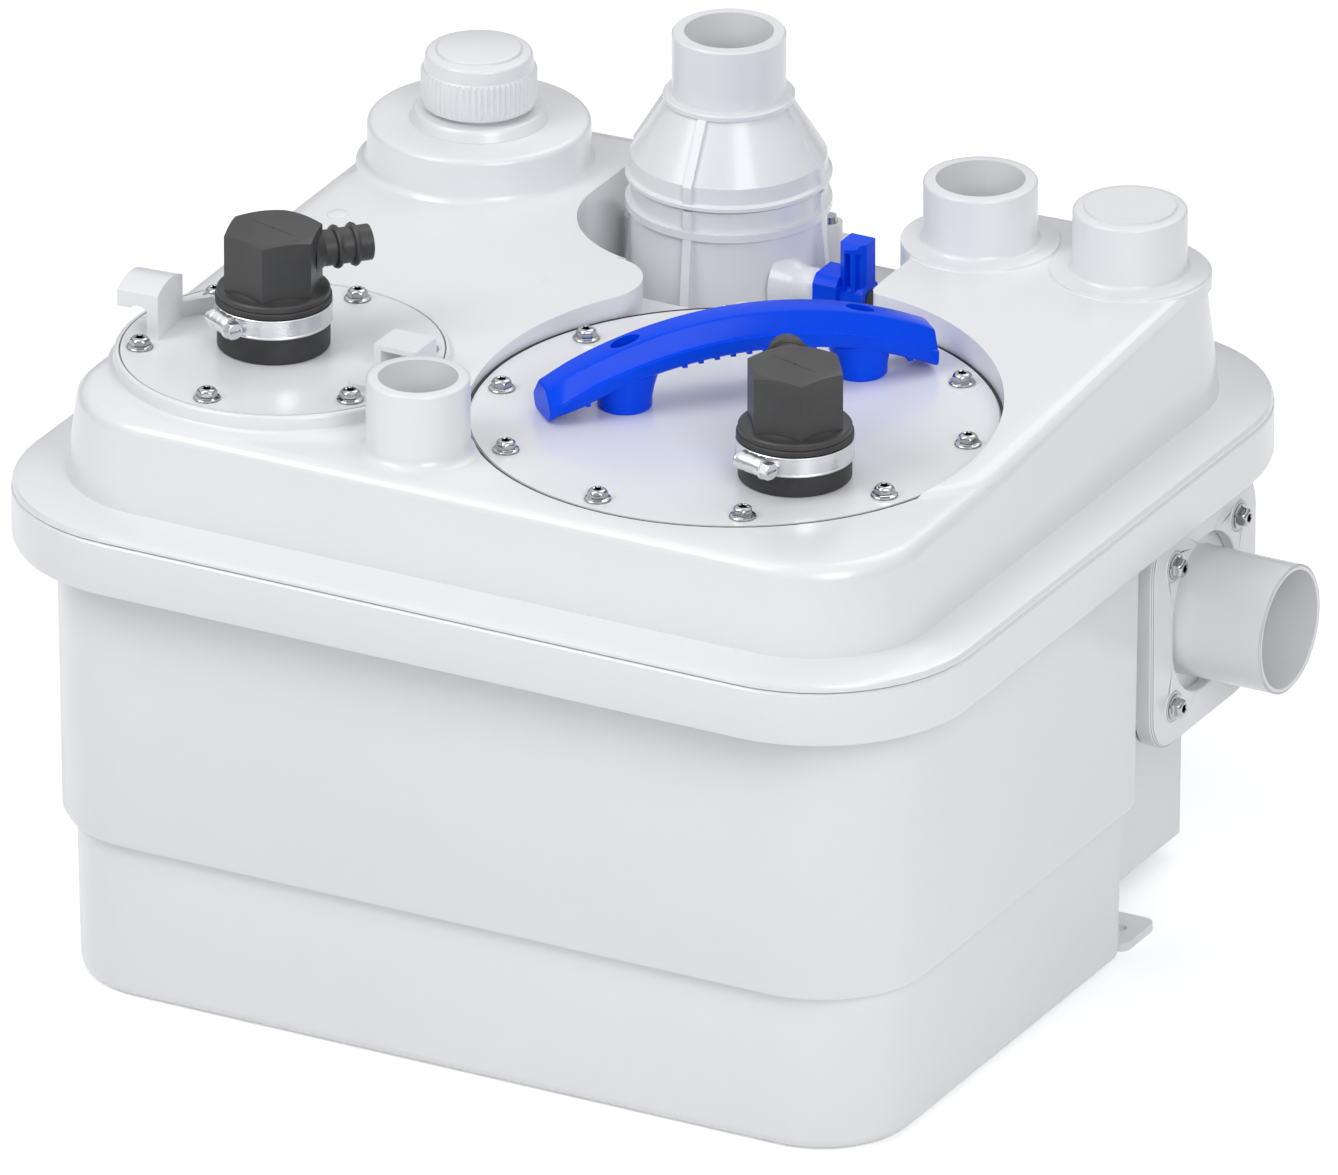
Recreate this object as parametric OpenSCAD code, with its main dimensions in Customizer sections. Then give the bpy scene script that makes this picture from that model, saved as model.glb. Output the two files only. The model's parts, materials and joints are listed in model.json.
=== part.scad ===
// Macerator lifting station: a collecting tank with a cutting pump, two top inlets, one side inlet,
// a vent and a discharge valve. Millimetres. The origin is on the floor under the middle of the tank,
// +Z is up and the long front faces -Y.

/* [Tank] */
// Width over the rim
rim_w = 461; // [456:1:468]
// Depth over the rim
rim_d = 416; // [410:1:422]
// How far the foot stands in from the rim at the sides
foot_in_w = 26.5; // [25:0.5:28]
// How far the foot stands in from the rim at the front and the rear
foot_in_d = 30; // [28:0.5:32]
// Corner radius of the foot
tank_r = 45; // [38:1:52]
// Height of the step in the wall
step_z = 75; // [60:1:88]
// How far the upper wall stands out past the foot
step_out = 8; // [5:0.5:9]
// Height of the rim band's lower edge
band_z = 205.6; // [203:0.1:210]
// Height of the rim
rim_z = 231.4; // [228:0.1:240]
// Corner radius of the rim
rim_r = 74; // [68:1:80]
// Thickness of the tank's and the lid's walls
wall = 4; // [3.5:0.1:4.5]
// Thickness of the tank's floor
floor_t = 5; // [4:0.5:8]
// Rounding of the tank's lower edge
foot_round = 6; // [3:0.5:8]

/* [Side recess and lugs] */
// How far the recessed wall lies in from the foot's side
recess_in = 30; // [26:0.5:32]
// Length of the recess, from the foot's rear
recess_l = 118; // [114:0.5:122]
// How far the rear of the recess ends above the floor
recess_sill = 10; // [6:1:14]
// Length of a floor lug
lug_l = 27; // [25:1:28]
// Width of a floor lug
lug_w = 30; // [24:1:36]
// Thickness of a floor lug
lug_t = 4; // [3:0.5:6]
// Bore of a floor lug
lug_bore = 6.5; // [5:0.1:8]

/* [Lid] */
// Open groove between the rim and the lid
groove_h = 0.8; // [0.5:0.1:1.2]
// Height of the lid's flange at the foot of the deck
flange_h = 5.5; // [5:0.1:7]
// Distance from the rim's edge to the foot of the deck
flange_inset = 22.5; // [21:0.5:24]
// Height of the level deck above the flange
deck_h = 40; // [38:0.5:44]
// Slope of the deck's walls, as the distance they lean in
deck_draft = 4.5; // [3:0.5:6]
// Rounding along the deck's edge
deck_round = 7; // [5:0.5:8]
// Rise of the ramp on the vent's side
left_rise = 10; // [8:0.5:12]
// Rise of the ramp on the sockets' side
right_rise = 15.5; // [13:0.5:18]
// Where the ramp starts
ramp_y = -105; // [-110:1:-100]

/* [Motor plate] */
// Middle of the motor plate, across
motor_plate_x = 71; // [69:0.5:72]
// Middle of the motor plate, front to back
motor_plate_y = -50; // [-51:0.5:-48]
// Diameter of the motor plate
motor_plate_od = 231; // [228:0.5:232]
// Bore under the motor plate
motor_opening = 188; // [184:1:190]
// Thickness of the motor plate
motor_plate_t = 5; // [4.5:0.5:6]
// Bolt circle of the motor plate
motor_pcd = 210; // [208:0.5:212]
// Number of the motor plate's screws
motor_screw_count = 10; // [8:1:12]
// Angle of the first screw of the motor plate
motor_screw_turn = -60; // [-62:1:-58]
// Diameter of the lifting eyelet on the motor plate's edge
eyelet_od = 11; // [10:0.5:12]

/* [Sensor plate] */
// Middle of the sensor plate, across
sensor_plate_x = -128; // [-130:0.5:-126]
// Middle of the sensor plate, front to back
sensor_plate_y = -94; // [-96:0.5:-92]
// Diameter of the sensor plate
sensor_plate_od = 141; // [138:0.5:142]
// Bore under the sensor plate
sensor_opening = 104; // [98:1:108]
// Thickness of the sensor plate
sensor_plate_t = 3; // [2.5:0.5:4]
// Height of the sensor plate's seat above the deck
sensor_boss_h = 4.6; // [4:0.1:6]
// Bolt circle of the sensor plate
sensor_pcd = 124; // [122:0.5:126]
// Number of the sensor plate's screws
sensor_screw_count = 6; // [5:1:8]
// Angle of the first screw of the sensor plate
sensor_screw_turn = -33; // [-36:1:-30]

/* [Plate screws and seals] */
// Diameter of a screw head's flange
screw_flange = 11.8; // [10:0.1:12]
// Width across flats of a screw head
screw_af = 8; // [7:0.1:8.5]
// Height of a screw head
screw_head = 5; // [4:0.5:6]
// Diameter of a screw's shank
screw_d = 4.8; // [4:0.1:5]
// Length of a screw's shank
screw_l = 11.5; // [10:0.25:11.75]
// Thickness of the plates' seals
seal_t = 1.5; // [1:0.1:2]
// Width of the plates' seals
seal_w = 5; // [4:0.5:5]

/* [Top sockets] */
// Outer diameter of the rear sockets
rear_socket_od = 50.5; // [49:0.5:52]
// Bore of the rear socket
rear_socket_id = 39.5; // [38:0.5:41]
// Height of the rear sockets above the plateau
rear_socket_h = 28.5; // [26:0.5:32]
// Outer diameter of the front socket
front_socket_od = 45.5; // [44:0.5:46]
// Bore of the front socket
front_socket_id = 35; // [33:0.5:37]
// Height of the front socket above the deck
front_socket_h = 34.5; // [30:0.5:38]

/* [Vent] */
// Diameter of the vent dome
dome_od = 99; // [96:0.5:100]
// Height of the vent dome above the deck
dome_h = 21; // [18:0.5:24]
// Outer diameter of the knurled vent cap
cap_od = 51.5; // [50:0.5:53]
// Height of the vent cap
cap_h = 26; // [24:0.5:28]
// Diameter of the collar under the vent cap
vent_collar_d = 57.5; // [56:0.5:59]
// Bore of the vent adaptor
vent_id = 38; // [36:0.5:39]

/* [Discharge valve] */
// Diameter of the valve's body
valve_od = 86.5; // [84:0.5:88]
// Diameter of the two rings round the valve
ring_od = 91; // [89:0.5:92]
// Height of the valve's body above the pocket's floor
valve_body_h = 62; // [60:0.5:66]
// Height of the cylinder over the upper ring
valve_skirt_h = 8; // [6:0.5:10]
// Height of the cone
cone_h = 26; // [24:0.5:28]
// Outer diameter of the discharge socket
outlet_od = 50.3; // [49:0.1:51]
// Bore of the discharge socket
outlet_id = 39.4; // [38:0.1:41]
// Height of the discharge socket
outlet_h = 28.8; // [26:0.1:32]
// Diameter of the collar under the discharge socket
collar_od = 58; // [56:0.5:59]
// Diameter of the flap's port
port_d = 40; // [36:0.5:42]
// Diameter of the flap's shaft
flap_shaft_d = 8; // [7:0.5:9]
// Diameter of the boss round the flap's shaft
shaft_boss_d = 17; // [15:0.5:18]
// Height of the screw posts beside the valve
valve_post_h = 31; // [28:1:34]
// Height of the drain lever above its axis
lever_h = 27; // [24:0.5:30]
// Width of the drain lever's hub
lever_hub_w = 11; // [9:0.5:12]

/* [Side inlet] */
// Outer diameter of the inlet pipe
inlet_od = 58; // [57:0.5:58.5]
// Wall of the inlet pipe
inlet_wall = 2.5; // [2:0.1:3.5]
// How far the inlet pipe reaches past its flange
inlet_reach = 41.5; // [36:0.5:46]
// Width of the slot in the inlet flange
slot_w = 61; // [60:0.5:62]
// Height of the slot in the inlet flange
slot_h = 72; // [70.5:0.5:73]
// Travel of the inlet pipe, up and down
inlet_travel = 5; // [3:0.5:5]
// Thickness of the inlet flange
inlet_flange_t = 9; // [8:0.5:10]
// Height of the inlet's middle
inlet_z = 148; // [146:0.5:150]
// Distance of the inlet's middle from the foot's rear
inlet_back = 59; // [57:0.5:61]
// Spacing of the inlet's bolts, across
inlet_bolt_y = 61; // [60.5:0.5:62]
// Spacing of the inlet's bolts, up
inlet_bolt_z = 67; // [65:0.5:69]

/* [Handle] */
// Outer radius of the handle's arch
arch_r = 186; // [180:1:192]
// Height of the arch's top above the plate
arch_h = 43.5; // [42:0.5:46]
// Half of the handle's length
handle_half = 88; // [84:1:90]
// Height of the handle's section
grip_h = 22; // [20:0.5:23]
// Width of the handle's section
grip_w = 25; // [22:0.5:28]
// Spacing of the handle's posts
post_pitch = 108; // [100:1:116]
// Diameter of a post at its foot
post_d = 24; // [20:0.5:26]

/* [Pressure take-offs] */
// Outer diameter of the rubber boots
boot_od = 49.5; // [48:0.5:51]
// Height of the short take-off's rubber boot, under its collar
short_boot_h = 20; // [19.5:0.5:24]
// Height of the long take-off's rubber boot, under its collar
long_boot_h = 22.5; // [21.5:0.5:25]
// Outer diameter of the dip tubes
dip_od = 32; // [28:0.5:34]
// Length of the short dip tube below its plate
short_dip_l = 130; // [100:5:160]
// Length of the long dip tube below its plate
long_dip_l = 235; // [200:5:250]
// Radius over the corners of the hexagon caps
hex_r = 22.4; // [21:0.1:23.5]
// Height of the hexagon caps above their boots
hex_h = 30.3; // [28:0.1:33]
// Width of the clamp bands
band_w = 9; // [8:0.5:10]
// Outer diameter of the hose tails
tail_od = 16; // [14:0.5:17]

/* [Pump] */
// Outer diameter of the motor's housing
motor_od = 120; // [114:1:124]
// Height of the motor's housing
motor_h = 134; // [130:1:140]
// Diameter of the motor's shaft
shaft_d = 14; // [12:0.5:15]
// Outer diameter of the pump's volute
volute_od = 128; // [122:1:132]
// Height of the pump's volute
volute_h = 46; // [44:0.5:50]
// Diameter of the impeller
impeller_d = 92; // [84:1:96]
// Number of the impeller's vanes
vane_count = 6; // [4:1:8]
// Outer diameter of the riser pipe
riser_od = 44; // [42:0.5:46]
// Wall of the riser pipe
riser_wall = 3; // [2.5:0.5:4]

/* [Hidden] */
$fn = 64;
white = [0.93, 0.94, 0.95];
black = [0.13, 0.13, 0.13];
blue = [0.02, 0.18, 0.90];
steel = [0.75, 0.76, 0.78];
rubber = [0.08, 0.08, 0.08];
copper = [0.72, 0.42, 0.20];
// clearance of round pieces that sit in one another
fit = 0.15;
// clearance of bodies that move past one another
run = 0.3;
// radial clearance of a shaft in its bore
journal = 0.05;
// steps of a rounded corner in the moulded shells
corner_fn = 48;

tank_w = rim_w - 2 * foot_in_w;
tank_d = rim_d - 2 * foot_in_d;
recess_x = tank_w / 2 - recess_in;
recess_y = tank_d / 2 - recess_l;
inlet_y = tank_d / 2 - inlet_back;
upper_w = tank_w + 2 * step_out;
upper_d = tank_d + 2 * step_out;
upper_r = tank_r + step_out;
lid_z = rim_z + groove_h;
deck_foot_z = lid_z + flange_h;
deck_z = deck_foot_z + deck_h;
left_z = deck_z + left_rise;
right_z = deck_z + right_rise;
deck_w = rim_w - 2 * flange_inset;
deck_d = rim_d - 2 * flange_inset;
deck_r = rim_r - flange_inset + 4;

motor_seat_z = deck_z - motor_plate_t;
motor_top_z = deck_z;
sensor_seat_z = deck_z + sensor_boss_h;
sensor_top_z = sensor_seat_z + sensor_plate_t;
seat_t = 10;
plate_gap = 1.2;

// the pocket of the discharge valve; what stands at the rear keeps its distance from the rim there
valve_x = -30;
valve_y = rim_d / 2 - 74;
pocket_x = -27;
pocket_y = valve_y - 24;
pocket_r = 58;
pocket_front = 52;
pocket_right = 75;
pocket_z = deck_foot_z;

// the recess of the motor plate opens into the pocket between a tongue of the deck and a rounded corner
recess_r = motor_plate_od / 2 + plate_gap;
tongue_x = -20;
tongue_dx = motor_plate_x - tongue_x;
tongue_dy = pocket_front - motor_plate_y;
tongue_half = tongue_dy + recess_r - tongue_dx;
tongue_rest = pow(tongue_half, 2) - pow(tongue_dx, 2) - pow(tongue_dy, 2) + pow(recess_r, 2);
tongue_r = tongue_half - sqrt(tongue_rest);
tongue_share = recess_r / (recess_r + tongue_r);
throat_y = motor_plate_y + tongue_share * (tongue_dy - tongue_r);
corner_r = 6;
corner_x = pocket_right + corner_r;
corner_y = motor_plate_y + sqrt(pow(recess_r + corner_r, 2) - pow(corner_x - motor_plate_x, 2));

open_socket = [94, rim_d / 2 - 73];
blank_socket = [rim_w / 2 - 64.5, rim_d / 2 - 70];
plateau_r = 35;
front_socket = [-33, -145];
dome = [83.5 - rim_w / 2, rim_d / 2 - 88];
// where the ramp turns level on the vent's side
ramp_end_y = dome[1] - 38;

valve_base_z = pocket_z;
ring_z1 = valve_base_z + 49;
ring_t = 3.5;
valve_wall = 4;
valve_joint_z = valve_base_z + valve_body_h;
skirt_z = valve_joint_z + ring_t + valve_skirt_h;
collar_z = skirt_z + cone_h;
collar_t = 2.5;
outlet_top_z = collar_z + collar_t + outlet_h;
seat_z = valve_base_z + 16;
flap_y = valve_y - 16;
flap_z = valve_base_z + 25;
lever_x = 25.5;
// the valve's screw posts: angle of each, and distance from the valve's middle
post_turns = [52, 174];
post_reach = valve_od / 2 + 5;

hub_x = 60;
hub_y = -22;
handle_turn = 47.3;
eyelet_turn = 116;
motor_top = motor_seat_z - 12;
motor_low = motor_top - motor_h;
volute_top = motor_low - 16;
volute_low = volute_top - volute_h;
volute_mid = (volute_top + volute_low) / 2;
riser_bend = 40;
dip_short = [123, -92];
dip_long = [-134, -91];

// A prism with round corners, exact all round
module slab(w, d, r, h) {
    linear_extrude(h) {
        square([w - 2 * r, d], center = true);
        square([w, d - 2 * r], center = true);
        for (sx = [-1, 1], sy = [-1, 1]) {
            translate([sx * (w / 2 - r), sy * (d / 2 - r)]) circle(r);
        }
    }
}

// Section of a corner post: how far in the wall stands at each height, from the bottom up
module post_section(r, insets) {
    first = insets[0];
    last = insets[len(insets) - 1];
    polygon(concat([[0, first[1]]], [for (p = insets) [r - p[0], p[1]]], [[0, last[1]]]));
}

// A block with round corners whose wall follows a section
module moulded_block(w, d, r, insets) {
    hull() {
        for (sx = [-1, 1], sy = [-1, 1]) {
            translate([sx * (w / 2 - r), sy * (d / 2 - r), 0])
                rotate_extrude($fn = corner_fn) post_section(r, insets);
        }
    }
}

// Insets and heights of a rounded upper edge
function round_top(inset, z, f) = [for (a = [0:30:90]) [inset + f * (1 - cos(a)), z - f + f * sin(a)]];
// Insets and heights of a rounded lower edge
function round_foot(inset, z, f) = [for (a = [0:30:90]) [inset + f * (1 - sin(a)), z + f * (1 - cos(a))]];

// An upright prism with half-round ends, lying on the YZ plane and reaching along +X
module upright_slot(w, h, depth) {
    rotate([90, 0, 90]) linear_extrude(depth) {
        square([w, h - w], center = true);
        for (s = [-1, 1]) translate([0, s * (h - w) / 2]) circle(w / 2);
    }
}

module ring(ro, ri, z, h) {
    translate([0, 0, z]) difference() {
        cylinder(r = ro, h = h);
        translate([0, 0, -1]) cylinder(r = ri, h = h + 2);
    }
}

module at_polar(count, radius, first) {
    for (k = [0:count - 1]) rotate(first + k * 360 / count) translate([radius, 0, 0]) children();
}

// Tank

module side_recess(grow = 0) {
    translate([recess_x - grow, recess_y - grow, -1])
        cube([rim_w, rim_d, band_z + 1 + grow]);
    translate([recess_x - 60 - grow, recess_y + 45 - grow, -1])
        cube([rim_w, rim_d, recess_sill + 1 + grow]);
}

module tank_walls() {
    foot_insets = concat(round_foot(1.5, 0, foot_round), [[0, step_z + 1]]);
    moulded_block(tank_w, tank_d, tank_r, foot_insets);
    upper_insets = [[step_out - 1, step_z], [3.4, step_z + 0.8], [1.8, step_z + 4], [0, rim_z]];
    moulded_block(upper_w, upper_d, upper_r, upper_insets);
    rim_band();
}

module rim_band() {
    band_insets = [[4, band_z], [1.2, band_z + 1.2], [0, band_z + 4], [0, rim_z - 1], [1, rim_z]];
    difference() {
        moulded_block(rim_w, rim_d, rim_r, band_insets);
        translate([0, 0, band_z - 1]) difference() {
            slab(rim_w - 2 * wall, rim_d - 2 * wall, rim_r - wall, rim_z - band_z - 7);
            translate([0, 0, -1]) slab(upper_w - 2, upper_d - 2, upper_r - 1, rim_z);
        }
    }
}

module tank_hollow() {
    translate([0, 0, floor_t])
        slab(tank_w - 2 * wall - 3, tank_d - 2 * wall - 3, tank_r - wall - 1.5, rim_z);
    translate([0, 0, step_z + wall + 1])
        slab(upper_w - 2 * wall - 3, upper_d - 2 * wall - 3, upper_r - wall - 1.5, rim_z);
}

module floor_lug() {
    difference() {
        union() {
            translate([-12, -lug_w / 2, 0]) cube([lug_l + 12 - 5, lug_w, lug_t]);
            translate([-12, -lug_w / 2 + 5, 0]) cube([lug_l + 12, lug_w - 10, lug_t]);
            for (s = [-1, 1]) translate([lug_l - 5, s * (lug_w / 2 - 5), 0]) cylinder(r = 5, h = lug_t);
        }
        translate([lug_l / 2 + 3, 0, -1]) cylinder(d = lug_bore, h = lug_t + 2);
    }
}

inlet_pad_x = recess_x + 29.5;
inlet_corner = 19;

module inlet_outline(r) {
    hull() {
        for (sy = [-1, 1], sz = [-1, 1]) {
            translate([sy * inlet_bolt_y / 2, sz * inlet_bolt_z / 2]) circle(r, $fn = 40);
        }
    }
}

module tank() {
    color(white) difference() {
        union() {
            difference() {
                tank_walls();
                side_recess();
            }
            translate([recess_x - 1, inlet_y, inlet_z]) rotate([90, 0, 90])
                linear_extrude(inlet_pad_x - recess_x + 1) inlet_outline(inlet_corner - 0.7);
            translate([recess_x, recess_y + 25, 0]) floor_lug();
            translate([-tank_w / 2, recess_y + 25, 0]) mirror([1, 0, 0]) floor_lug();
        }
        difference() {
            tank_hollow();
            side_recess(wall);
        }
        translate([recess_x - 10, inlet_y, inlet_z]) upright_slot(slot_w, slot_h, 60);
        translate([inlet_pad_x - 12, inlet_y, inlet_z]) inlet_bolt_places()
            rotate([0, 90, 0]) screw_hole(20);
        translate([0, 0, rim_z - seal_t]) gasket_ring(0.2, seal_t + 1);
    }
}

module inlet_bolt_places() {
    for (sy = [-1, 1], sz = [-1, 1])
        translate([0, sy * inlet_bolt_y / 2, sz * inlet_bolt_z / 2]) children();
}

// The lid's seal lies in a groove of the rim, half way between the band and the opening
gasket_w = upper_w + 14;
gasket_d = upper_d + 14;
gasket_r = upper_r + 7;

module gasket_ring(grow, h) {
    difference() {
        slab(gasket_w + 2 * grow, gasket_d + 2 * grow, gasket_r + grow, h);
        translate([0, 0, -1])
            slab(gasket_w - 12 - 2 * grow, gasket_d - 12 - 2 * grow, gasket_r - 6 - grow, h + 2);
    }
}

module lid_gasket() {
    color(rubber) translate([0, 0, rim_z - seal_t]) gasket_ring(0, seal_t + groove_h);
}

// Lid

// Corner post of the deck at a place, with its own height and edge rounding
module deck_post(x, y, top, f, grow) {
    r = deck_r - grow;
    lean = deck_draft * (top - deck_foot_z) / deck_h;
    foot = [0, deck_foot_z - (grow > 0 ? 0 : 2)];
    translate([x, y, 0]) rotate_extrude($fn = corner_fn)
        post_section(r, concat([foot], round_top(lean, top - grow, f - grow / 2)));
}

deck_px = deck_w / 2 - deck_r;
deck_py = deck_d / 2 - deck_r;

module level_deck(grow = 0) {
    hull() {
        for (sx = [-1, 1], sy = [-1, 1]) deck_post(sx * deck_px, sy * deck_py, deck_z, deck_round, grow);
    }
}

module ramped_deck(grow = 0) {
    hull() {
        for (sx = [-1, 1]) deck_post(sx * deck_px, ramp_y + deck_r, deck_z + 2.4, deck_round, grow);
        deck_post(-deck_px, ramp_end_y, left_z, 14, grow);
        deck_post(-deck_px, deck_py, left_z, 14, grow);
        deck_post(deck_px, deck_py, right_z, 5, grow);
    }
}

module lid_flange() {
    flange_insets = [[0, lid_z], [0, lid_z + 1.2], [1, lid_z + 2.8], [3, lid_z + 3.6],
        [flange_inset - 4, lid_z + flange_h - 0.6], [flange_inset + 4, lid_z + flange_h]];
    moulded_block(rim_w - 0.6, rim_d - 0.6, rim_r, flange_insets);
}

module plate_recess(grow, z, h) {
    translate([motor_plate_x, motor_plate_y, z]) cylinder(r = recess_r + grow, h = h);
    difference() {
        translate([tongue_x - tongue_r, throat_y - grow, z])
            cube([pocket_right - tongue_x + tongue_r + grow, pocket_front - throat_y + 1 + 2 * grow, h]);
        translate([tongue_x - tongue_r, pocket_front - tongue_r, z - 1])
            cylinder(r = tongue_r - grow, h = h + 2);
    }
    difference() {
        translate([pocket_right - 1, corner_y - corner_r - 2, z]) cube([corner_r + 1, corner_r + 2, h]);
        translate([corner_x, corner_y, z - 1]) cylinder(r = corner_r - grow, h = h + 2);
    }
}

module pocket(grow, z, h) {
    difference() {
        union() {
            translate([pocket_x, pocket_y, z]) cylinder(r = pocket_r + grow, h = h);
            translate([pocket_x - pocket_r - grow, pocket_y, z]) cube([pocket_r + grow, rim_d / 2, h]);
            translate([pocket_x, pocket_front - grow, z]) cube([pocket_right - pocket_x + grow, rim_d, h]);
        }
        translate([open_socket[0], open_socket[1], z - 1]) cylinder(r = plateau_r - grow, h = h + 2);
    }
}

// Places of the screw posts that hold the valve down
module valve_post_places(z) {
    translate([valve_x, valve_y, z])
        for (a = post_turns) rotate(a) translate([post_reach, 0, 0]) children();
}

// Block on the flange behind the valve
module rear_block() {
    translate([-4, rim_d / 2 - 30, deck_foot_z - 1]) cube([16, 14, 18]);
}

// Round upstand with a soft foot and a rounded lip
module upstand(r, z, h, foot, root = 6, lip = 1.5) {
    translate([0, 0, z]) rotate_extrude()
        polygon(concat([[0, -root], [r + foot, -root]],
            [for (a = [0:30:90]) [r + foot * (1 - sin(a)), foot * (1 - cos(a))]],
            [for (a = [0:30:90]) [r - lip * (1 - cos(a)), h - lip * (1 - sin(a))]], [[0, h]]));
}

module lid_solid() {
    lid_flange();
    level_deck();
    ramped_deck();
    for (p = [open_socket, blank_socket]) {
        translate([p[0], p[1], 0]) upstand(plateau_r, right_z, 1.5, 1, lip = 0.4);
        translate([p[0], p[1], 0]) upstand(rear_socket_od / 2, right_z + 1.5, rear_socket_h, 2.5);
    }
    translate([blank_socket[0], blank_socket[1], right_z]) cylinder(d = 40, h = rear_socket_h + 2.7);
    translate([front_socket[0], front_socket[1], 0])
        upstand(front_socket_od / 2, deck_z, front_socket_h, 5);
    translate([dome[0], dome[1], 0]) upstand(dome_od / 2, left_z, dome_h, 5, 20, 3);
    translate([sensor_plate_x, sensor_plate_y, 0])
        upstand(sensor_plate_od / 2 + 3, deck_z, sensor_boss_h + sensor_plate_t, 3);
}

// Plan of the lip that locates the lid in the tank, drawn in from the tank's wall
module lip_slab(inset, h) {
    slab(upper_w - 2 * wall - inset, upper_d - 2 * wall - inset, upper_r - wall - inset / 2, h);
}

module lid_hollow() {
    difference() {
        union() {
            level_deck(wall);
            ramped_deck(wall);
            translate([0, 0, lid_z - 1]) lip_slab(10, flange_h + 3);
            translate([dome[0], dome[1], deck_z - 20])
                cylinder(d = dome_od - 2 * wall, h = left_z + dome_h - deck_z + 20 - wall);
        }
        plate_recess(wall, motor_seat_z - seat_t, 100);
        pocket(wall, pocket_z - wall, 100);
        valve_post_places(pocket_z - 12) cylinder(d = 12, h = 20);
        translate([sensor_plate_x, sensor_plate_y, sensor_seat_z - seat_t])
            cylinder(d = sensor_plate_od, h = 40);
        for (p = [open_socket, blank_socket])
            translate([p[0], p[1], right_z - 10]) cylinder(d = rear_socket_od, h = 20);
        translate([front_socket[0], front_socket[1], deck_z - 10]) cylinder(d = front_socket_od, h = 20);
    }
}

module lid() {
    color(white) difference() {
        union() {
            difference() {
                lid_solid();
                lid_hollow();
            }
            translate([0, 0, rim_z - 8]) difference() {
                lip_slab(5, 9 + groove_h);
                translate([0, 0, -1]) lip_slab(10, 12 + groove_h);
            }
            rear_block();
        }
        plate_recess(0, motor_seat_z, 100);
        translate([motor_plate_x, motor_plate_y, motor_seat_z - seat_t - 1])
            cylinder(d = motor_opening, h = seat_t + 2);
        translate([motor_plate_x, motor_plate_y, motor_seat_z - seal_t])
            ring(motor_opening / 2 + seal_w + 0.1, motor_opening / 2 - 1, 0, 20);
        translate([motor_plate_x, motor_plate_y, motor_seat_z - seat_t + 1])
            at_polar(motor_screw_count, motor_pcd / 2, motor_screw_turn) screw_hole(20);
        difference() {
            pocket(0, pocket_z, 100);
            rear_block();
        }
        valve_post_places(pocket_z - 10) cylinder(d = post_screw_d + 2 * fit, h = 20);
        translate([valve_x, valve_y, pocket_z - 20]) cylinder(d = riser_od + 1, h = 40);
        translate([sensor_plate_x, sensor_plate_y, sensor_seat_z])
            cylinder(d = sensor_plate_od + 1.6, h = 40);
        translate([sensor_plate_x, sensor_plate_y, sensor_seat_z - seat_t - 1])
            cylinder(d = sensor_opening, h = seat_t + 2);
        translate([sensor_plate_x, sensor_plate_y, sensor_seat_z - seal_t])
            ring(sensor_opening / 2 + seal_w + 0.1, sensor_opening / 2 - 1, 0, 20);
        translate([sensor_plate_x, sensor_plate_y, sensor_seat_z - seat_t + 1])
            at_polar(sensor_screw_count, sensor_pcd / 2, sensor_screw_turn) screw_hole(20);
        translate([open_socket[0], open_socket[1], right_z - 20]) cylinder(d = rear_socket_id, h = 80);
        translate([blank_socket[0], blank_socket[1], right_z - 20])
            cylinder(d = rear_socket_id, h = 20 + rear_socket_h - wall);
        translate([front_socket[0], front_socket[1], deck_z - 20]) cylinder(d = front_socket_id, h = 80);
        translate([dome[0], dome[1], left_z]) cylinder(d = vent_id, h = 60);
    }
}

// Plates with their seals and screws

module screw_hole(h) {
    cylinder(d = screw_d + 2 * fit, h = h);
}

module plate_seal(opening, z) {
    color(rubber) ring(opening / 2 + seal_w, opening / 2 - 1 + 0.1, z - seal_t, seal_t);
}

module flanged_screw() {
    translate([0, 0, -screw_l]) cylinder(d = screw_d, h = screw_l + 1, $fn = 24);
    cylinder(d1 = screw_flange, d2 = screw_flange - 1.6, h = 1.3, $fn = 32);
    intersection() {
        cylinder(d = screw_af / cos(30), h = screw_head, $fn = 6);
        translate([0, 0, -1]) cylinder(d1 = screw_af + 9, d2 = screw_af - 1.4, h = screw_head + 1, $fn = 32);
    }
}

module take_off_spigot(at, z) {
    translate([at[0], at[1], z - 1]) cylinder(d = boot_od - 8 - 2 * fit, h = 13);
}

module motor_plate() {
    color(white) difference() {
        union() {
            translate([motor_plate_x, motor_plate_y, motor_seat_z]) {
                cylinder(d = motor_plate_od, h = motor_plate_t - 1);
                cylinder(d = motor_plate_od - 1.6, h = motor_plate_t);
            }
            eyelet_place(motor_seat_z) cylinder(d = eyelet_od, h = motor_plate_t + 0.8);
            translate([hub_x, hub_y, motor_top]) cylinder(d = motor_od - 8, h = 13);
            take_off_spigot(dip_short, motor_top_z);
        }
        eyelet_place(0) cylinder(d = eyelet_od - 5, h = 400);
        translate([hub_x, hub_y, motor_top - 1]) cylinder(d = motor_od - 18, h = 13);
        translate([dip_short[0], dip_short[1], 0]) cylinder(d = dip_od + 2 * fit, h = 400);
        translate([motor_plate_x, motor_plate_y, 0])
            at_polar(motor_screw_count, motor_pcd / 2, motor_screw_turn) screw_hole(400);
        handle_places() translate([0, 0, motor_top_z - 4]) screw_hole(10);
    }
}

// The lifting eyelet stands half over the plate's edge, behind a screw
module eyelet_place(z) {
    translate([motor_plate_x, motor_plate_y, z]) rotate(eyelet_turn)
        translate([motor_plate_od / 2 - 1, 0, 0]) children();
}

module motor_plate_gasket() {
    translate([motor_plate_x, motor_plate_y, 0]) plate_seal(motor_opening, motor_seat_z);
}

module motor_plate_screws() {
    color(steel) translate([motor_plate_x, motor_plate_y, motor_top_z])
        at_polar(motor_screw_count, motor_pcd / 2, motor_screw_turn) flanged_screw();
}

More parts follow.
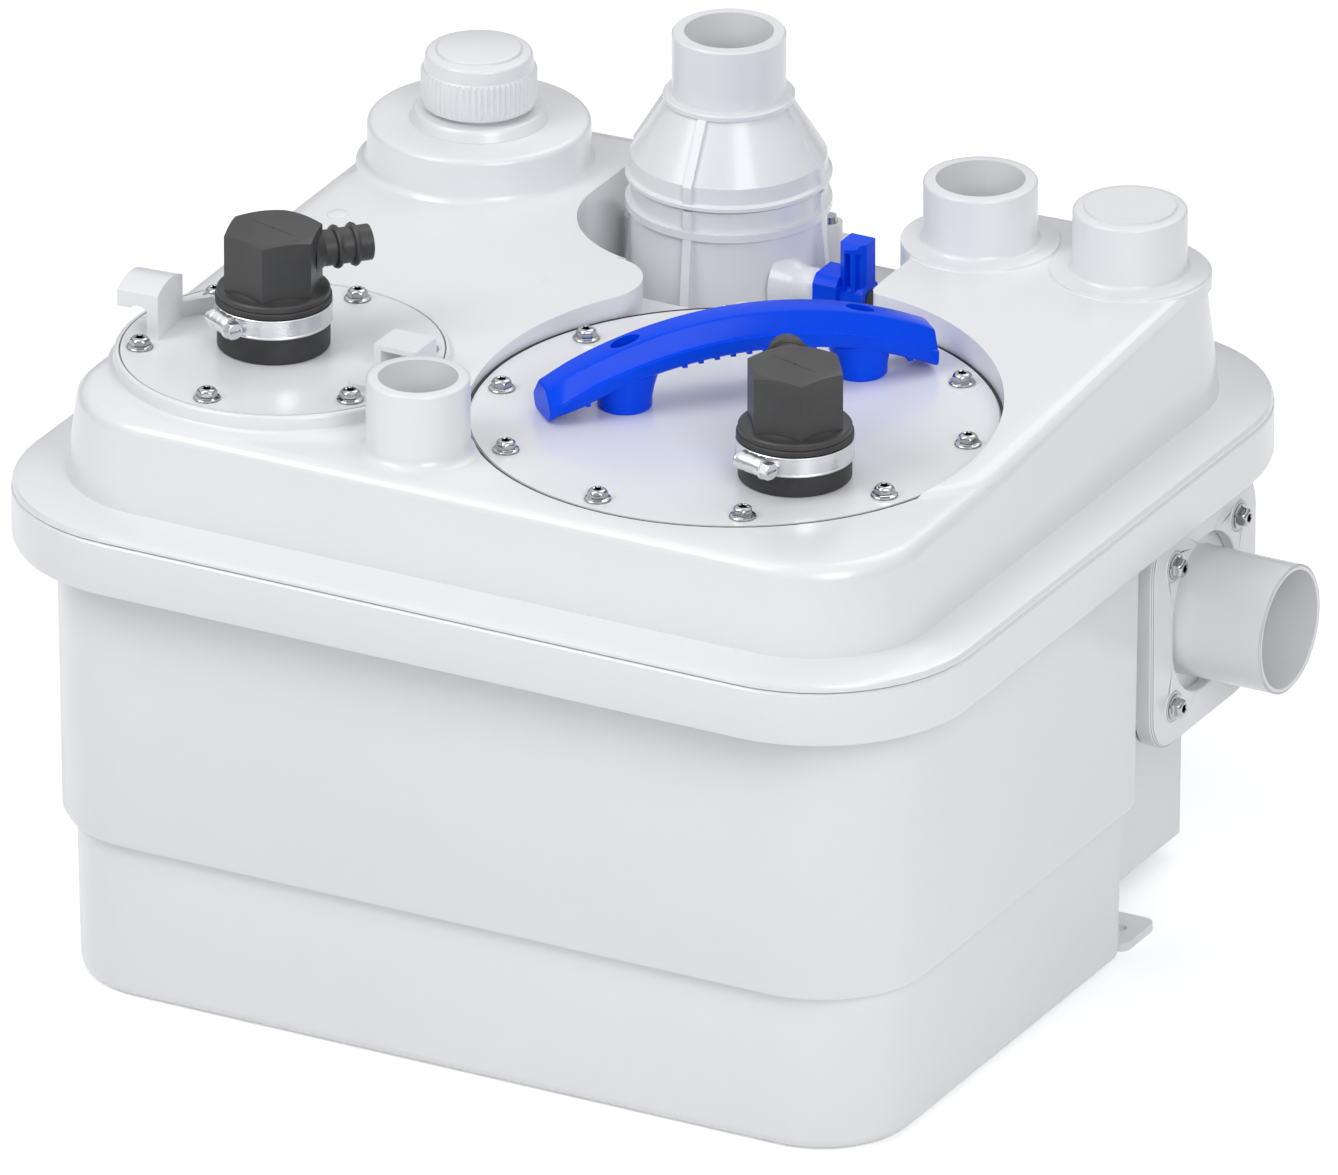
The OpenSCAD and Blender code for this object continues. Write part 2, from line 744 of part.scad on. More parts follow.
module sensor_plate() {
    color(white) translate([sensor_plate_x, sensor_plate_y, 0]) {
        difference() {
            union() {
                translate([0, 0, sensor_seat_z]) cylinder(d = sensor_plate_od, h = sensor_plate_t);
                translate([-sensor_plate_x, -sensor_plate_y, 0]) take_off_spigot(dip_long, sensor_top_z);
            }
            translate([dip_long[0] - sensor_plate_x, dip_long[1] - sensor_plate_y, 0])
                cylinder(d = dip_od + 2 * fit, h = 400);
            at_polar(sensor_screw_count, sensor_pcd / 2, sensor_screw_turn)
                screw_hole(400);
        }
        hose_hook();
        hose_clip();
    }
}

// Hook that holds the air hose down: a post under an arched roof that overhangs to the left
hook_w = 26.5;
hook_reach = 19.5;
hook_h = 20.7;
module hose_hook() {
    translate([-51.5, -18.6, sensor_top_z - 0.5]) rotate(5) difference() {
        intersection() {
            union() {
                translate([-5.3, 0, 0]) cube([5.3, hook_w, 30]);
                translate([-hook_reach, 0, hook_h - 6.9]) cube([hook_reach, hook_w, 20]);
                translate([-4, hook_w - 3, 0]) rotate(45) cube([30, 3, 8]);
            }
            translate([-30, hook_w / 2, hook_h - 24]) rotate([0, 90, 0]) cylinder(r = 28, h = 60);
        }
        translate([-9.6, -1, hook_h - 9.8]) rotate([-90, 0, 0]) cylinder(r = 4.4, h = hook_w + 2);
    }
}

// Clip over the air hose: a small bridge on two legs, and a lug beside it
clip_w = 20.7;
clip_l = 19;
clip_h = 12.5;
module hose_clip() {
    translate([56, 8.5, sensor_top_z - 0.5]) difference() {
        translate([-clip_w / 2, -clip_l / 2, 0]) cube([clip_w, clip_l, clip_h]);
        translate([-clip_w / 2 + 3.5, -clip_l / 2 - 1, -1]) cube([clip_w - 6.5, clip_l + 2, clip_h - 1.5]);
    }
    translate([48, -20.4, sensor_top_z - 0.5]) {
        cylinder(r = 4, h = 3.5);
        translate([0, -4, 0]) cube([8, 8, 3.5]);
    }
}

module sensor_plate_gasket() {
    translate([sensor_plate_x, sensor_plate_y, 0]) plate_seal(sensor_opening, sensor_seat_z);
}

module sensor_plate_screws() {
    color(steel) translate([sensor_plate_x, sensor_plate_y, sensor_top_z])
        at_polar(sensor_screw_count, sensor_pcd / 2, sensor_screw_turn) flanged_screw();
}

// Handle

module handle_places() {
    translate([hub_x, hub_y, 0]) rotate(handle_turn)
        for (s = [-1, 1]) translate([s * post_pitch / 2, 0, 0]) children();
}

arch_centre = arch_h - arch_r;
arch_low_r = arch_r - grip_h;
skirt_h = 8;
skirt_out = 1;
crown_half = grip_w / 2 - 6;
rib_t = 1.6;
rib_drop = 1;
rib_half = grip_w / 2 - 2.5;
rib_step = 2.6;

// Outline of the grip's section, as radius and distance from its middle plane
function mirrored(side) = concat(side, [for (i = [len(side) - 1:-1:0]) [side[i][0], -side[i][1]]]);

module grip_section() {
    half = grip_w / 2;
    side = [[arch_low_r, half - 2], [arch_low_r + 1.5, half], [arch_low_r + skirt_h, half],
        [arch_low_r + skirt_h + 0.6, half - skirt_out], [arch_r - 4, crown_half + 4],
        [arch_r - 1.2, crown_half + 1.6], [arch_r, crown_half]];
    polygon(mirrored(side));
}

// Turns a section of the arch about the arch's middle, through the angle of the handle and a little more
module swept_arch() {
    arch_angle = asin(handle_half / arch_low_r) + 2;
    translate([0, 0, arch_centre]) rotate([90, 0, 0]) rotate(90 - arch_angle)
        rotate_extrude(angle = 2 * arch_angle, $fn = 200) children();
}

module grip_ribs() {
    translate([0, 0, arch_centre]) for (k = [-10:10]) rotate([0, k * rib_step, 0])
        translate([-rib_t / 2, -rib_half, arch_low_r - rib_drop]) cube([rib_t, 2 * rib_half, skirt_h]);
}

module carry_handle() {
    slot_z = arch_h - 18;
    color(blue) translate([hub_x, hub_y, motor_top_z]) rotate(handle_turn) difference() {
        union() {
            intersection() {
                difference() {
                    swept_arch() grip_section();
                    swept_arch()
                        translate([arch_low_r - 1, -grip_w / 2 + 3]) square([skirt_h - 1, grip_w - 6]);
                }
                translate([-handle_half, -grip_w, 1]) cube([2 * handle_half, 2 * grip_w, arch_h]);
            }
            intersection() {
                grip_ribs();
                translate([-handle_half + 2, -grip_w, 1]) cube([2 * handle_half - 4, 2 * grip_w, arch_h]);
            }
            for (s = [-1, 1]) translate([s * post_pitch / 2, 0, 0]) rotate_extrude()
                polygon([[0, 0], [post_d / 2 - 0.6, 0], [post_d / 2, 0.8], [post_d / 2 + 0.3, 6],
                    [post_d / 2 + 3, arch_h - grip_h + 1], [post_d / 2 + 3, slot_z], [0, slot_z]]);
        }
        for (s = [-1, 1]) translate([s * post_pitch / 2, 0, 0]) {
            translate([0, 0, slot_z]) grip_slot(16, 8, 40);
            translate([0, 0, arch_h - 12]) grip_slot(18, 10, 40);
            translate([0, 0, -1]) screw_hole(60);
        }
    }
}

// A level slot with half-round ends, cut from z upward
module grip_slot(l, w, h) {
    linear_extrude(h) {
        square([l - w, w], center = true);
        for (s = [-1, 1]) translate([s * (l - w) / 2, 0]) circle(d = w);
    }
}

module handle_screws() {
    color(steel) handle_places() translate([0, 0, motor_top_z - 3.5]) {
        cylinder(d = screw_d, h = arch_h - 18 + 3.5, $fn = 24);
        translate([0, 0, arch_h - 18 + 3.5]) cylinder(d = 7.4, h = 4, $fn = 24);
    }
}

// Pressure take-offs

module dip_tube(at, top, l) {
    color(white) translate([at[0], at[1], top - l]) ring(dip_od / 2, dip_od / 2 - 3, 0, l + 12);
}

module short_dip_tube() {
    dip_tube(dip_short, motor_top_z, short_dip_l);
}

module long_dip_tube() {
    dip_tube(dip_long, sensor_top_z, long_dip_l);
}

boot_collar_h = 2;

module boot(at, top, h) {
    side = boot_od / 2;
    color(rubber) translate([at[0], at[1], top]) rotate_extrude() polygon([
        [side - 4, 0], [side - 0.8, 0], [side, 0.8], [side, h - 1], [side + 0.8, h - 0.4],
        [side + 0.8, h + 1.4], [side, h + boot_collar_h], [side - 4, h + boot_collar_h]]);
}

module short_boot() {
    boot(dip_short, motor_top_z, short_boot_h);
}

module long_boot() {
    boot(dip_long, sensor_top_z, long_boot_h);
}

module clamp(at, z, turn) {
    color(steel) translate([at[0], at[1], z]) rotate(turn) {
        ring(boot_od / 2 + fit + 1, boot_od / 2 + fit, 0, band_w);
        translate([boot_od / 2 + 1, 0, band_w / 2]) rotate([-90, 0, 0]) clamp_housing();
    }
}

// Half-round worm-screw housing on the band, with the screw's tip at one end and its head at the other
module clamp_housing() {
    barrel_x = 2.6;
    barrel_r = 4.2;
    translate([0, 0, -6.5]) linear_extrude(13) {
        intersection() {
            translate([barrel_x, 0]) circle(barrel_r);
            translate([0, -barrel_r]) square([barrel_x + barrel_r, 2 * barrel_r]);
        }
        translate([-0.6, -band_w / 2 + 0.3]) square([barrel_x + 0.6, band_w - 0.6]);
    }
    translate([barrel_x, 0, -7.8]) cylinder(d = 6.4, h = 9);
    translate([barrel_x, 0, 5]) cylinder(d = 6, h = 4);
    translate([barrel_x, 0, 7.4]) cylinder(d = 8.8, h = 1);
    translate([barrel_x, 0, 8]) cylinder(d = 8.2, h = 4.5, $fn = 6);
}

module short_clamp() {
    clamp(dip_short, motor_top_z + short_boot_h - band_w - 1, -104.5);
}

module long_clamp() {
    clamp(dip_long, sensor_top_z + long_boot_h - band_w - 1, -117);
}

// Hexagon cap with a ribbed hose tail. The top of its foot rises as a cone to the hexagon's flats.
tail_drop = 13.2;
module hex_cap(at, foot_z, turn, tail_turn) {
    top_z = hex_h;
    tail_z = top_z - tail_drop;
    foot_r = boot_od / 2;
    color(black) translate([at[0], at[1], foot_z]) difference() {
        union() {
            translate([0, 0, -9]) cylinder(d = boot_od - 8 - 2 * fit, h = 10);
            rotate_extrude() polygon([[0, 0], [foot_r - 0.3, 0], [foot_r, 0.3], [foot_r, 2.2],
                [foot_r - 0.7, 2.9], [hex_r - 1.5, 3.6], [hex_r - 5.5, 6], [0, 6]]);
            rotate(turn) intersection() {
                translate([0, 0, 1]) cylinder(r = hex_r, h = hex_h, $fn = 6);
                rotate_extrude() polygon([[0, 0], [hex_r + 5, 0], [hex_r + 5, top_z - 3],
                    [hex_r - 3.4, top_z - 0.1], [hex_r - 4, top_z], [0, top_z]]);
            }
            translate([0, 0, tail_z]) rotate([0, 90, tail_turn]) hose_tail();
        }
        translate([0, 0, -11]) cylinder(d = 30, h = 19);
        translate([0, 0, 7]) cylinder(d = 12, h = tail_z - 7);
        translate([0, 0, tail_z]) rotate([0, 90, tail_turn]) cylinder(d = 10, h = 80);
    }
}

// Hose tail with a conical root and two rounded ribs
module hose_tail() {
    side = tail_od / 2;
    cylinder(r = side, h = 44);
    translate([0, 0, 16]) cylinder(r1 = side + 4, r2 = side, h = 6);
    for (z = [27, 35]) translate([0, 0, z]) rotate_extrude() polygon([[0, 0], [side, 0], [side + 1.3, 0.5],
        [side + 1.8, 1.6], [side + 1.3, 2.7], [side, 3.2], [0, 3.2]]);
}

module short_cap() {
    hex_cap(dip_short, motor_top_z + short_boot_h + boot_collar_h, 5, 123);
}

module long_cap() {
    hex_cap(dip_long, sensor_top_z + long_boot_h + boot_collar_h, 46, 48);
}

// Vent

vent_z = left_z + dome_h;
vent_collar_h = 5.3;
cap_z = vent_z + vent_collar_h + 2.2;
neck_d = cap_od - 10;
neck_h = 22;
seal_groove_z = vent_z + 13;
seal_groove_h = 3;
knurl_h = 17;
knurl_count = 60;

module vent_neck() {
    color(white) translate([dome[0], dome[1], vent_z]) difference() {
        union() {
            translate([0, 0, -wall - 3]) cylinder(d = vent_id - 2 * fit, h = wall + 4);
            cylinder(d1 = vent_collar_d + 4, d2 = vent_collar_d + 0.8, h = vent_collar_h - 1);
            translate([0, 0, vent_collar_h - 1])
                cylinder(d1 = vent_collar_d + 0.8, d2 = vent_collar_d - 1, h = 1);
            cylinder(d = neck_d, h = neck_h);
        }
        translate([0, 0, -20]) cylinder(d = vent_id - 8, h = 60);
        translate([0, 0, seal_groove_z - vent_z]) ring(neck_d / 2 + 1, neck_d / 2 - 3, 0, seal_groove_h);
    }
}

module vent_seal() {
    color(rubber) translate([dome[0], dome[1], 0])
        ring(neck_d / 2, neck_d / 2 - 3 + 0.1, seal_groove_z + 0.1, seal_groove_h - 0.2);
}

module vent_cap() {
    color(white) translate([dome[0], dome[1], cap_z]) difference() {
        union() {
            cylinder(d = cap_od - 1, h = knurl_h);
            cylinder(d = cap_od - 0.4, h = 1.6);
            for (k = [0:knurl_count - 1]) rotate(k * 360 / knurl_count) translate([cap_od / 2 - 1.2, 0, 1])
                cylinder(d = 1.9, h = knurl_h - 1.6, $fn = 13);
            translate([0, 0, knurl_h]) cylinder(d1 = cap_od - 3, d2 = cap_od - 4, h = cap_h - knurl_h - 2);
            translate([0, 0, cap_h - 2]) cylinder(d1 = cap_od - 4, d2 = cap_od - 6, h = 1);
            translate([0, 0, cap_h - 2]) cylinder(d = 37.5, h = 2);
        }
        translate([0, 0, -1]) cylinder(d = neck_d + 2 * run, h = neck_h - (cap_z - vent_z) + 1 + run);
    }
}

// Discharge valve

rib_turns = [-86, 4, 94, 184];
rib_w = 4;
post_screw_d = 4;

// Upright ribs of the valve's body, wider at the foot
module valve_ribs() {
    out = ring_od / 2 - 0.3 - valve_od / 2;
    for (a = rib_turns) rotate(a) translate([valve_od / 2, rib_w / 2, valve_base_z]) rotate([90, 0, 0])
        linear_extrude(rib_w) polygon([[-3, 1], [7, 1], [out, ring_z1 - valve_base_z],
            [out, valve_body_h], [-3, valve_body_h]]);
}

// Screw posts at the valve's foot, joined to its wall
module valve_posts() {
    valve_post_places(valve_base_z) {
        cylinder(d = post_screw_d + 8, h = valve_post_h);
        translate([-9, -4, 0]) cube([9, 8, valve_post_h]);
    }
}

module valve_body() {
    bore_r = valve_od / 2 - valve_wall;
    color(white) difference() {
        translate([valve_x, valve_y, 0]) difference() {
            union() {
                translate([0, 0, valve_base_z]) cylinder(d = valve_od, h = valve_body_h);
                translate([0, 0, valve_base_z]) cylinder(d1 = valve_od + 16, d2 = valve_od + 12, h = 4);
                translate([0, 0, ring_z1]) cylinder(d = ring_od, h = ring_t);
                valve_ribs();
                translate([0, flap_y - valve_y, flap_z]) rotate([0, 90, 0])
                    cylinder(d = shaft_boss_d, h = lever_x - 1 - valve_x);
                translate([valve_od / 2 - 8, flap_y - valve_y, flap_z]) rotate([0, 90, 0])
                    cylinder(d1 = shaft_boss_d + 12, d2 = shaft_boss_d, h = 11);
                translate([-valve_x, -valve_y, 0]) valve_posts();
            }
            translate([0, 0, seat_z]) cylinder(r = bore_r, h = 100);
            translate([0, 0, valve_base_z - 1]) cylinder(d = riser_od + 2 * fit, h = 9);
            translate([0, 0, valve_base_z + 7]) cylinder(d = riser_od - 2 * riser_wall, h = 5);
            translate([0, 8, valve_base_z + 8]) cylinder(d = port_d, h = 20);
            translate([-valve_x, -valve_y, 0]) valve_post_places(0)
                cylinder(d = post_screw_d + 2 * fit, h = 400);
        }
        translate([valve_x - 40, flap_y, flap_z]) rotate([0, 90, 0])
            cylinder(r = flap_shaft_d / 2 + journal, h = 100);
    }
}

module valve_seal() {
    color(rubber) translate([valve_x, valve_y, 0])
        ring(valve_od / 2 - 0.4, valve_od / 2 - valve_wall, valve_joint_z, 1);
}

module valve_top() {
    z0 = valve_joint_z + 1;
    lip = valve_joint_z + ring_t;
    neck = collar_od / 2 - 1.5;
    color(white) translate([valve_x, valve_y, 0]) difference() {
        union() {
            rotate_extrude() polygon([[outlet_id / 2, z0], [ring_od / 2 - 0.5, z0], [ring_od / 2, z0 + 0.5],
                [ring_od / 2, lip - 0.5], [ring_od / 2 - 0.5, lip], [valve_od / 2 + 0.4, lip + 0.6],
                [valve_od / 2, skirt_z], [neck, collar_z - 0.6], [collar_od / 2, collar_z],
                [collar_od / 2, collar_z + collar_t - 0.6], [collar_od / 2 - 0.8, collar_z + collar_t],
                [outlet_od / 2, collar_z + collar_t], [outlet_od / 2, outlet_top_z - 0.8],
                [outlet_od / 2 - 0.8, outlet_top_z], [outlet_id / 2, outlet_top_z]]);
            for (a = rib_turns) rotate(a) translate([0, rib_w / 2, 0]) rotate([90, 0, 0])
                linear_extrude(rib_w) polygon([[neck - 4, collar_z], [neck + 1.6, collar_z],
                    [valve_od / 2 + 1.8, skirt_z], [valve_od / 2 + 1.8, lip], [valve_od / 2 - 3, lip]]);
        }
        rotate_extrude() polygon([[0, z0 - 1], [valve_od / 2 - valve_wall, z0 - 1],
            [valve_od / 2 - valve_wall, skirt_z - 2], [outlet_id / 2, collar_z], [0, collar_z]]);
    }
}

module valve_screws() {
    color(steel) valve_post_places(valve_base_z + valve_post_h) {
        translate([0, 0, -valve_post_h - 9]) cylinder(d = post_screw_d, h = valve_post_h + 10, $fn = 24);
        cylinder(d1 = post_screw_d + 4, d2 = post_screw_d + 2.5, h = 3, $fn = 24);
    }
}

module flap() {
    shaft_reach = 36;
    color(rubber) {
        translate([valve_x - shaft_reach, flap_y, flap_z]) rotate([0, 90, 0])
            cylinder(d = flap_shaft_d, h = lever_end_x + 0.5 - valve_x + shaft_reach);
        translate([valve_x - 10, flap_y, flap_z]) rotate([0, 90, 0]) cylinder(d = flap_shaft_d + 5, h = 20);
        translate([valve_x - 8, flap_y, seat_z + run + 1]) cube([16, 26, 4]);
        translate([valve_x, valve_y + 8, seat_z + run]) cylinder(d = port_d + 7, h = 4);
        translate([valve_x - 8, flap_y - 3, seat_z + run + 3]) cube([16, 8, 4]);
    }
}

// Drain lever: a square hub with cut corners, a round boss and an upright grip with two flutes
lever_af = 21;
grip_t = 12;
lever_end_x = lever_x + lever_hub_w + grip_t;

module lever_grip() {
    grip_x = lever_x + lever_hub_w;
    difference() {
        translate([grip_x, flap_y, flap_z + 3]) linear_extrude(lever_h - 3)
            polygon([[0, -5], [3.5, -8], [9, -7], [grip_t, -3], [grip_t, 5], [9, 7], [0, 7]]);
        translate([grip_x + 3.4, flap_y - 9, flap_z + 5]) cube([2.8, 4, lever_h - 9]);
        translate([grip_x + 8.2, flap_y - 9, flap_z + 5]) cube([2.4, 4, lever_h - 9]);
        for (s = [-1, 1]) translate([grip_x - 1, flap_y + s * 9, flap_z + lever_h]) rotate([45, 0, 0])
            translate([0, -2.5, -2.5]) cube([grip_t + 2, 5, 5]);
    }
}

module lever_axis(x) {
    translate([x, flap_y, flap_z]) rotate([0, 90, 0]) children();
}

module drain_lever() {
    color(blue) difference() {
        union() {
            intersection() {
                lever_axis(lever_x) cylinder(d = lever_af + 4, h = lever_hub_w + 0.5);
                translate([lever_x, flap_y - lever_af / 2, flap_z - lever_af / 2])
                    cube([lever_hub_w + 0.5, lever_af, lever_af]);
            }
            lever_axis(lever_x) cylinder(d = shaft_boss_d, h = lever_hub_w + grip_t);
            lever_grip();
        }
        lever_axis(lever_x - 1) cylinder(d = flap_shaft_d + 2 * fit, h = 40);
    }
}

// Side inlet

inlet_face_x = inlet_pad_x + seal_t;
shutter_t = 3;
shutter_w = slot_w + 4;
shutter_h = slot_h + 2 * inlet_travel;

module inlet_gasket() {
    color(rubber) translate([inlet_pad_x, inlet_y, inlet_z]) difference() {
        rotate([90, 0, 90]) linear_extrude(seal_t) inlet_outline(inlet_corner - 1.5);
        translate([-1, 0, 0]) upright_slot(slot_w, slot_h, 5);
        translate([-1, 0, 0]) inlet_bolt_places() rotate([0, 90, 0]) screw_hole(5);
    }
}

module inlet_flange() {
    color(white) translate([inlet_face_x, inlet_y, inlet_z]) difference() {
        union() {
            rotate([90, 0, 90]) linear_extrude(inlet_flange_t - 1.2) inlet_outline(inlet_corner);
            rotate([90, 0, 90]) linear_extrude(inlet_flange_t) inlet_outline(inlet_corner - 1.2);
            inlet_bolt_places() rotate([0, 90, 0]) cylinder(d = 14, h = inlet_flange_t + 0.8);
        }
        translate([-1, 0, 0]) upright_slot(slot_w, slot_h, 20);
        translate([-1, 0, 0])
            upright_slot(shutter_w + 2 * run, shutter_h + 2 * (inlet_travel + run), 1 + shutter_t + run);
        translate([-1, 0, 0]) inlet_bolt_places() rotate([0, 90, 0]) screw_hole(20);
    }
}

module inlet_bolts() {
    color(steel) translate([inlet_face_x + inlet_flange_t + 0.8, inlet_y, inlet_z])
        inlet_bolt_places() rotate([0, 90, 0]) flanged_screw();
}

module inlet_pipe() {
    tip = inlet_flange_t + inlet_reach;
    color(white) translate([inlet_face_x + run / 2, inlet_y, inlet_z]) difference() {
        union() {
            upright_slot(shutter_w, shutter_h, shutter_t);
            rotate([0, 90, 0]) cylinder(d = inlet_od, h = tip - 0.6);
            rotate([0, 90, 0]) cylinder(d = inlet_od - 1.2, h = tip);
        }
        translate([-1, 0, 0]) rotate([0, 90, 0]) cylinder(d = inlet_od - 2 * inlet_wall, h = 100);
    }
}

// Motor and pump, hung under the motor plate

module motor_housing() {
    color(steel) translate([hub_x, hub_y, 0]) difference() {
        translate([0, 0, motor_low]) cylinder(d = motor_od, h = motor_h);
        difference() {
            translate([0, 0, motor_low - 1]) cylinder(d = motor_od - 6, h = motor_h - 4);
            translate([0, 0, upper_bearing_z]) cylinder(d = bearing_od + 10, h = 40);
        }
        translate([0, 0, upper_bearing_z - 1]) cylinder(d = bearing_od, h = bearing_h + 1);
        translate([0, 0, upper_bearing_z - 1]) cylinder(d = shaft_d + 8, h = bearing_h + 5);
    }
}

stator_low = motor_low + 36;
stator_h = 62;
module stator() {
    color(copper) translate([hub_x, hub_y, stator_low]) {
        difference() {
            union() {
                cylinder(d = motor_od - 6 - 2 * fit, h = stator_h);
                translate([0, 0, -12]) cylinder(d = motor_od - 22, h = stator_h + 24);
            }
            translate([0, 0, -20]) cylinder(d = 61, h = stator_h + 40);
        }
    }
}

module rotor() {
    color(steel) translate([hub_x, hub_y, 0]) {
        translate([0, 0, volute_low - 16]) cylinder(d = shaft_d, h = motor_top - 8 - volute_low + 16);
        translate([0, 0, stator_low]) cylinder(d = 60, h = stator_h);
    }
}

bearing_od = 35;
bearing_h = 11;
upper_bearing_z = motor_top - 5 - 14;
lower_bearing_z = motor_low + 4;

module bearing(z) {
    color(steel) translate([hub_x, hub_y, 0])
        ring(bearing_od / 2 - fit, shaft_d / 2 + journal, z, bearing_h);
}

module upper_bearing() {
    bearing(upper_bearing_z);
}

module lower_bearing() {
    bearing(lower_bearing_z);
}

module bearing_shield() {
    color(white) translate([hub_x, hub_y, 0]) difference() {
        union() {
            translate([0, 0, motor_low - 12]) cylinder(d = motor_od, h = 12);
            translate([0, 0, motor_low - 1]) cylinder(d = motor_od - 6 - 2 * fit, h = 5);
            translate([0, 0, motor_low]) cylinder(d = bearing_od + 10, h = 15);
        }
        translate([0, 0, lower_bearing_z]) cylinder(d = bearing_od, h = 40);
        translate([0, 0, motor_low - 13]) cylinder(d = shaft_d + 10, h = 40);
    }
}

module shaft_seal() {
    color(rubber) translate([hub_x, hub_y, 0])
        ring(shaft_d / 2 + 5 - fit, shaft_d / 2 + journal, motor_low - 11, 9);
}

module pump_volute() {
    nozzle_turn = atan2(valve_y - hub_y, valve_x - hub_x);
    color(white) translate([hub_x, hub_y, 0]) difference() {
        union() {
            translate([0, 0, volute_low]) cylinder(d = volute_od, h = volute_h + 4);
            translate([0, 0, volute_mid]) rotate([0, 90, nozzle_turn]) cylinder(d = riser_od, h = nozzle_l);
        }
        translate([0, 0, volute_low - 1]) cylinder(d = volute_od - 8, h = volute_h - 3);
        translate([0, 0, volute_low - 1]) cylinder(d = shaft_d + 2, h = 60);
        translate([0, 0, volute_mid]) rotate([0, 90, nozzle_turn])
            cylinder(d = riser_od - 2 * riser_wall - 14, h = volute_od / 2 + 40);
    }
}

module impeller() {
    color(black) translate([hub_x, hub_y, 0]) difference() {
        union() {
            translate([0, 0, volute_top - 10]) cylinder(d = impeller_d, h = 4);
            translate([0, 0, volute_low + 6]) cylinder(d = shaft_d + 10, h = volute_h - 13);
            for (k = [0:vane_count - 1]) rotate(k * 360 / vane_count)
                translate([shaft_d / 2 + 3, -2, volute_low + 7])
                    cube([impeller_d / 2 - shaft_d / 2 - 5, 4, volute_h - 15]);
        }
        translate([0, 0, volute_low - 1]) cylinder(d = shaft_d + 2 * fit, h = 60);
    }
}

module suction_plate() {
    color(steel) translate([hub_x, hub_y, 0]) difference() {
        translate([0, 0, volute_low - 5]) cylinder(d = volute_od, h = 5);
        translate([0, 0, volute_low - 6]) cylinder(d = 40, h = 8);
        at_polar(8, 22, 0) translate([0, 0, volute_low - 6]) cylinder(d = 9, h = 8);
    }
}

module cutter() {
    color(steel) translate([hub_x, hub_y, volute_low - 12]) difference() {
        union() {
            cylinder(d = 24, h = 6);
            for (k = [0:1]) rotate(k * 180) translate([0, -5, 0]) cube([30, 10, 6]);
        }
        translate([0, 0, -1]) cylinder(d = shaft_d + 2 * fit, h = 10);
    }
}

// Pipe from the pump to the discharge valve

riser_dir = [valve_x - hub_x, valve_y - hub_y];
riser_run = norm(riser_dir);
riser_turn = atan2(riser_dir[1], riser_dir[0]);
nozzle_l = volute_od / 2 + 22;

module riser_section(r) {
    bend_z = volute_mid + riser_bend;
    translate([riser_run, 0, bend_z]) cylinder(r = r, h = valve_base_z + 7 - bend_z);
    translate([riser_run - riser_bend, 0, bend_z]) rotate([90, 0, 0]) rotate(-90)
        rotate_extrude(angle = 90) translate([riser_bend, 0]) circle(r);
    translate([nozzle_l + 1, 0, volute_mid]) rotate([0, 90, 0])
        cylinder(r = r, h = riser_run - riser_bend - nozzle_l - 1);
}

module riser_pipe() {
    color(white) translate([hub_x, hub_y, 0]) rotate(riser_turn) difference() {
        riser_section(riser_od / 2);
        union() {
            riser_section(riser_od / 2 - riser_wall);
            translate([riser_run, 0, valve_base_z]) cylinder(r = riser_od / 2 - riser_wall, h = 20);
            translate([nozzle_l - 5, 0, volute_mid]) rotate([0, 90, 0])
                cylinder(r = riser_od / 2 - riser_wall, h = 20);
        }
    }
}

module riser_sleeve() {
    color(rubber) translate([hub_x, hub_y, volute_mid]) rotate([0, 90, riser_turn])
        ring(riser_od / 2 + fit + 4, riser_od / 2 + fit, nozzle_l - 16, 36);
}

tank();
lid_gasket();
lid();
motor_plate();
motor_plate_gasket();
motor_plate_screws();
carry_handle();
handle_screws();
sensor_plate();
sensor_plate_gasket();
sensor_plate_screws();
short_dip_tube();
long_dip_tube();
short_boot();
long_boot();
short_clamp();
long_clamp();
short_cap();
long_cap();
vent_neck();
vent_seal();
vent_cap();
valve_body();
valve_seal();
valve_top();
valve_screws();
flap();
drain_lever();
inlet_gasket();
inlet_flange();
inlet_bolts();
inlet_pipe();
motor_housing();
stator();
rotor();
upper_bearing();
lower_bearing();
bearing_shield();
shaft_seal();
pump_volute();
impeller();
suction_plate();
cutter();
riser_sleeve();
riser_pipe();
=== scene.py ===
import json
import math

import bmesh
import bpy
from mathutils import Matrix, Vector
from mathutils.bvhtree import BVHTree


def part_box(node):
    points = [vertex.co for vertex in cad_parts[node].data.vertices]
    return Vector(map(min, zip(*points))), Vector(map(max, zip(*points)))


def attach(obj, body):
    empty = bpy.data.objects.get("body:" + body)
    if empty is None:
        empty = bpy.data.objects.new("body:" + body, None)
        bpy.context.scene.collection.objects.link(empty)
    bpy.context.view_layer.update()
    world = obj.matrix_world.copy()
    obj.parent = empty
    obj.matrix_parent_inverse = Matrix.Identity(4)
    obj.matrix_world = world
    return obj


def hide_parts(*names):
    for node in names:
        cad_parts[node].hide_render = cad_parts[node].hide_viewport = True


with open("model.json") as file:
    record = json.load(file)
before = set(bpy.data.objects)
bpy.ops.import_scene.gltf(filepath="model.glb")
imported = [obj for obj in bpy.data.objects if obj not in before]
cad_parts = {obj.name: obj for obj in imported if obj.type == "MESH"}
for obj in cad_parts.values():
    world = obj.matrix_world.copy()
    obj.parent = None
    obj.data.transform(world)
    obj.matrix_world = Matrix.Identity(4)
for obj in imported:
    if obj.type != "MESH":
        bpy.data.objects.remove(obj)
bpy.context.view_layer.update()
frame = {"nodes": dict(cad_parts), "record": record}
MM = 0.001
nodes = frame["nodes"]

# Camera: the photograph's viewing direction, its scale and where its middle falls on the object
AZIMUTH = math.radians(28.2)
ELEVATION = math.radians(24.5)
DISTANCE = 14.0
FRAME_WIDTH_PX = 1338
PX_PER_MM = 2.28
MIDDLE_RIGHT = 10.6 * MM
MIDDLE_UP = 146.4 * MM


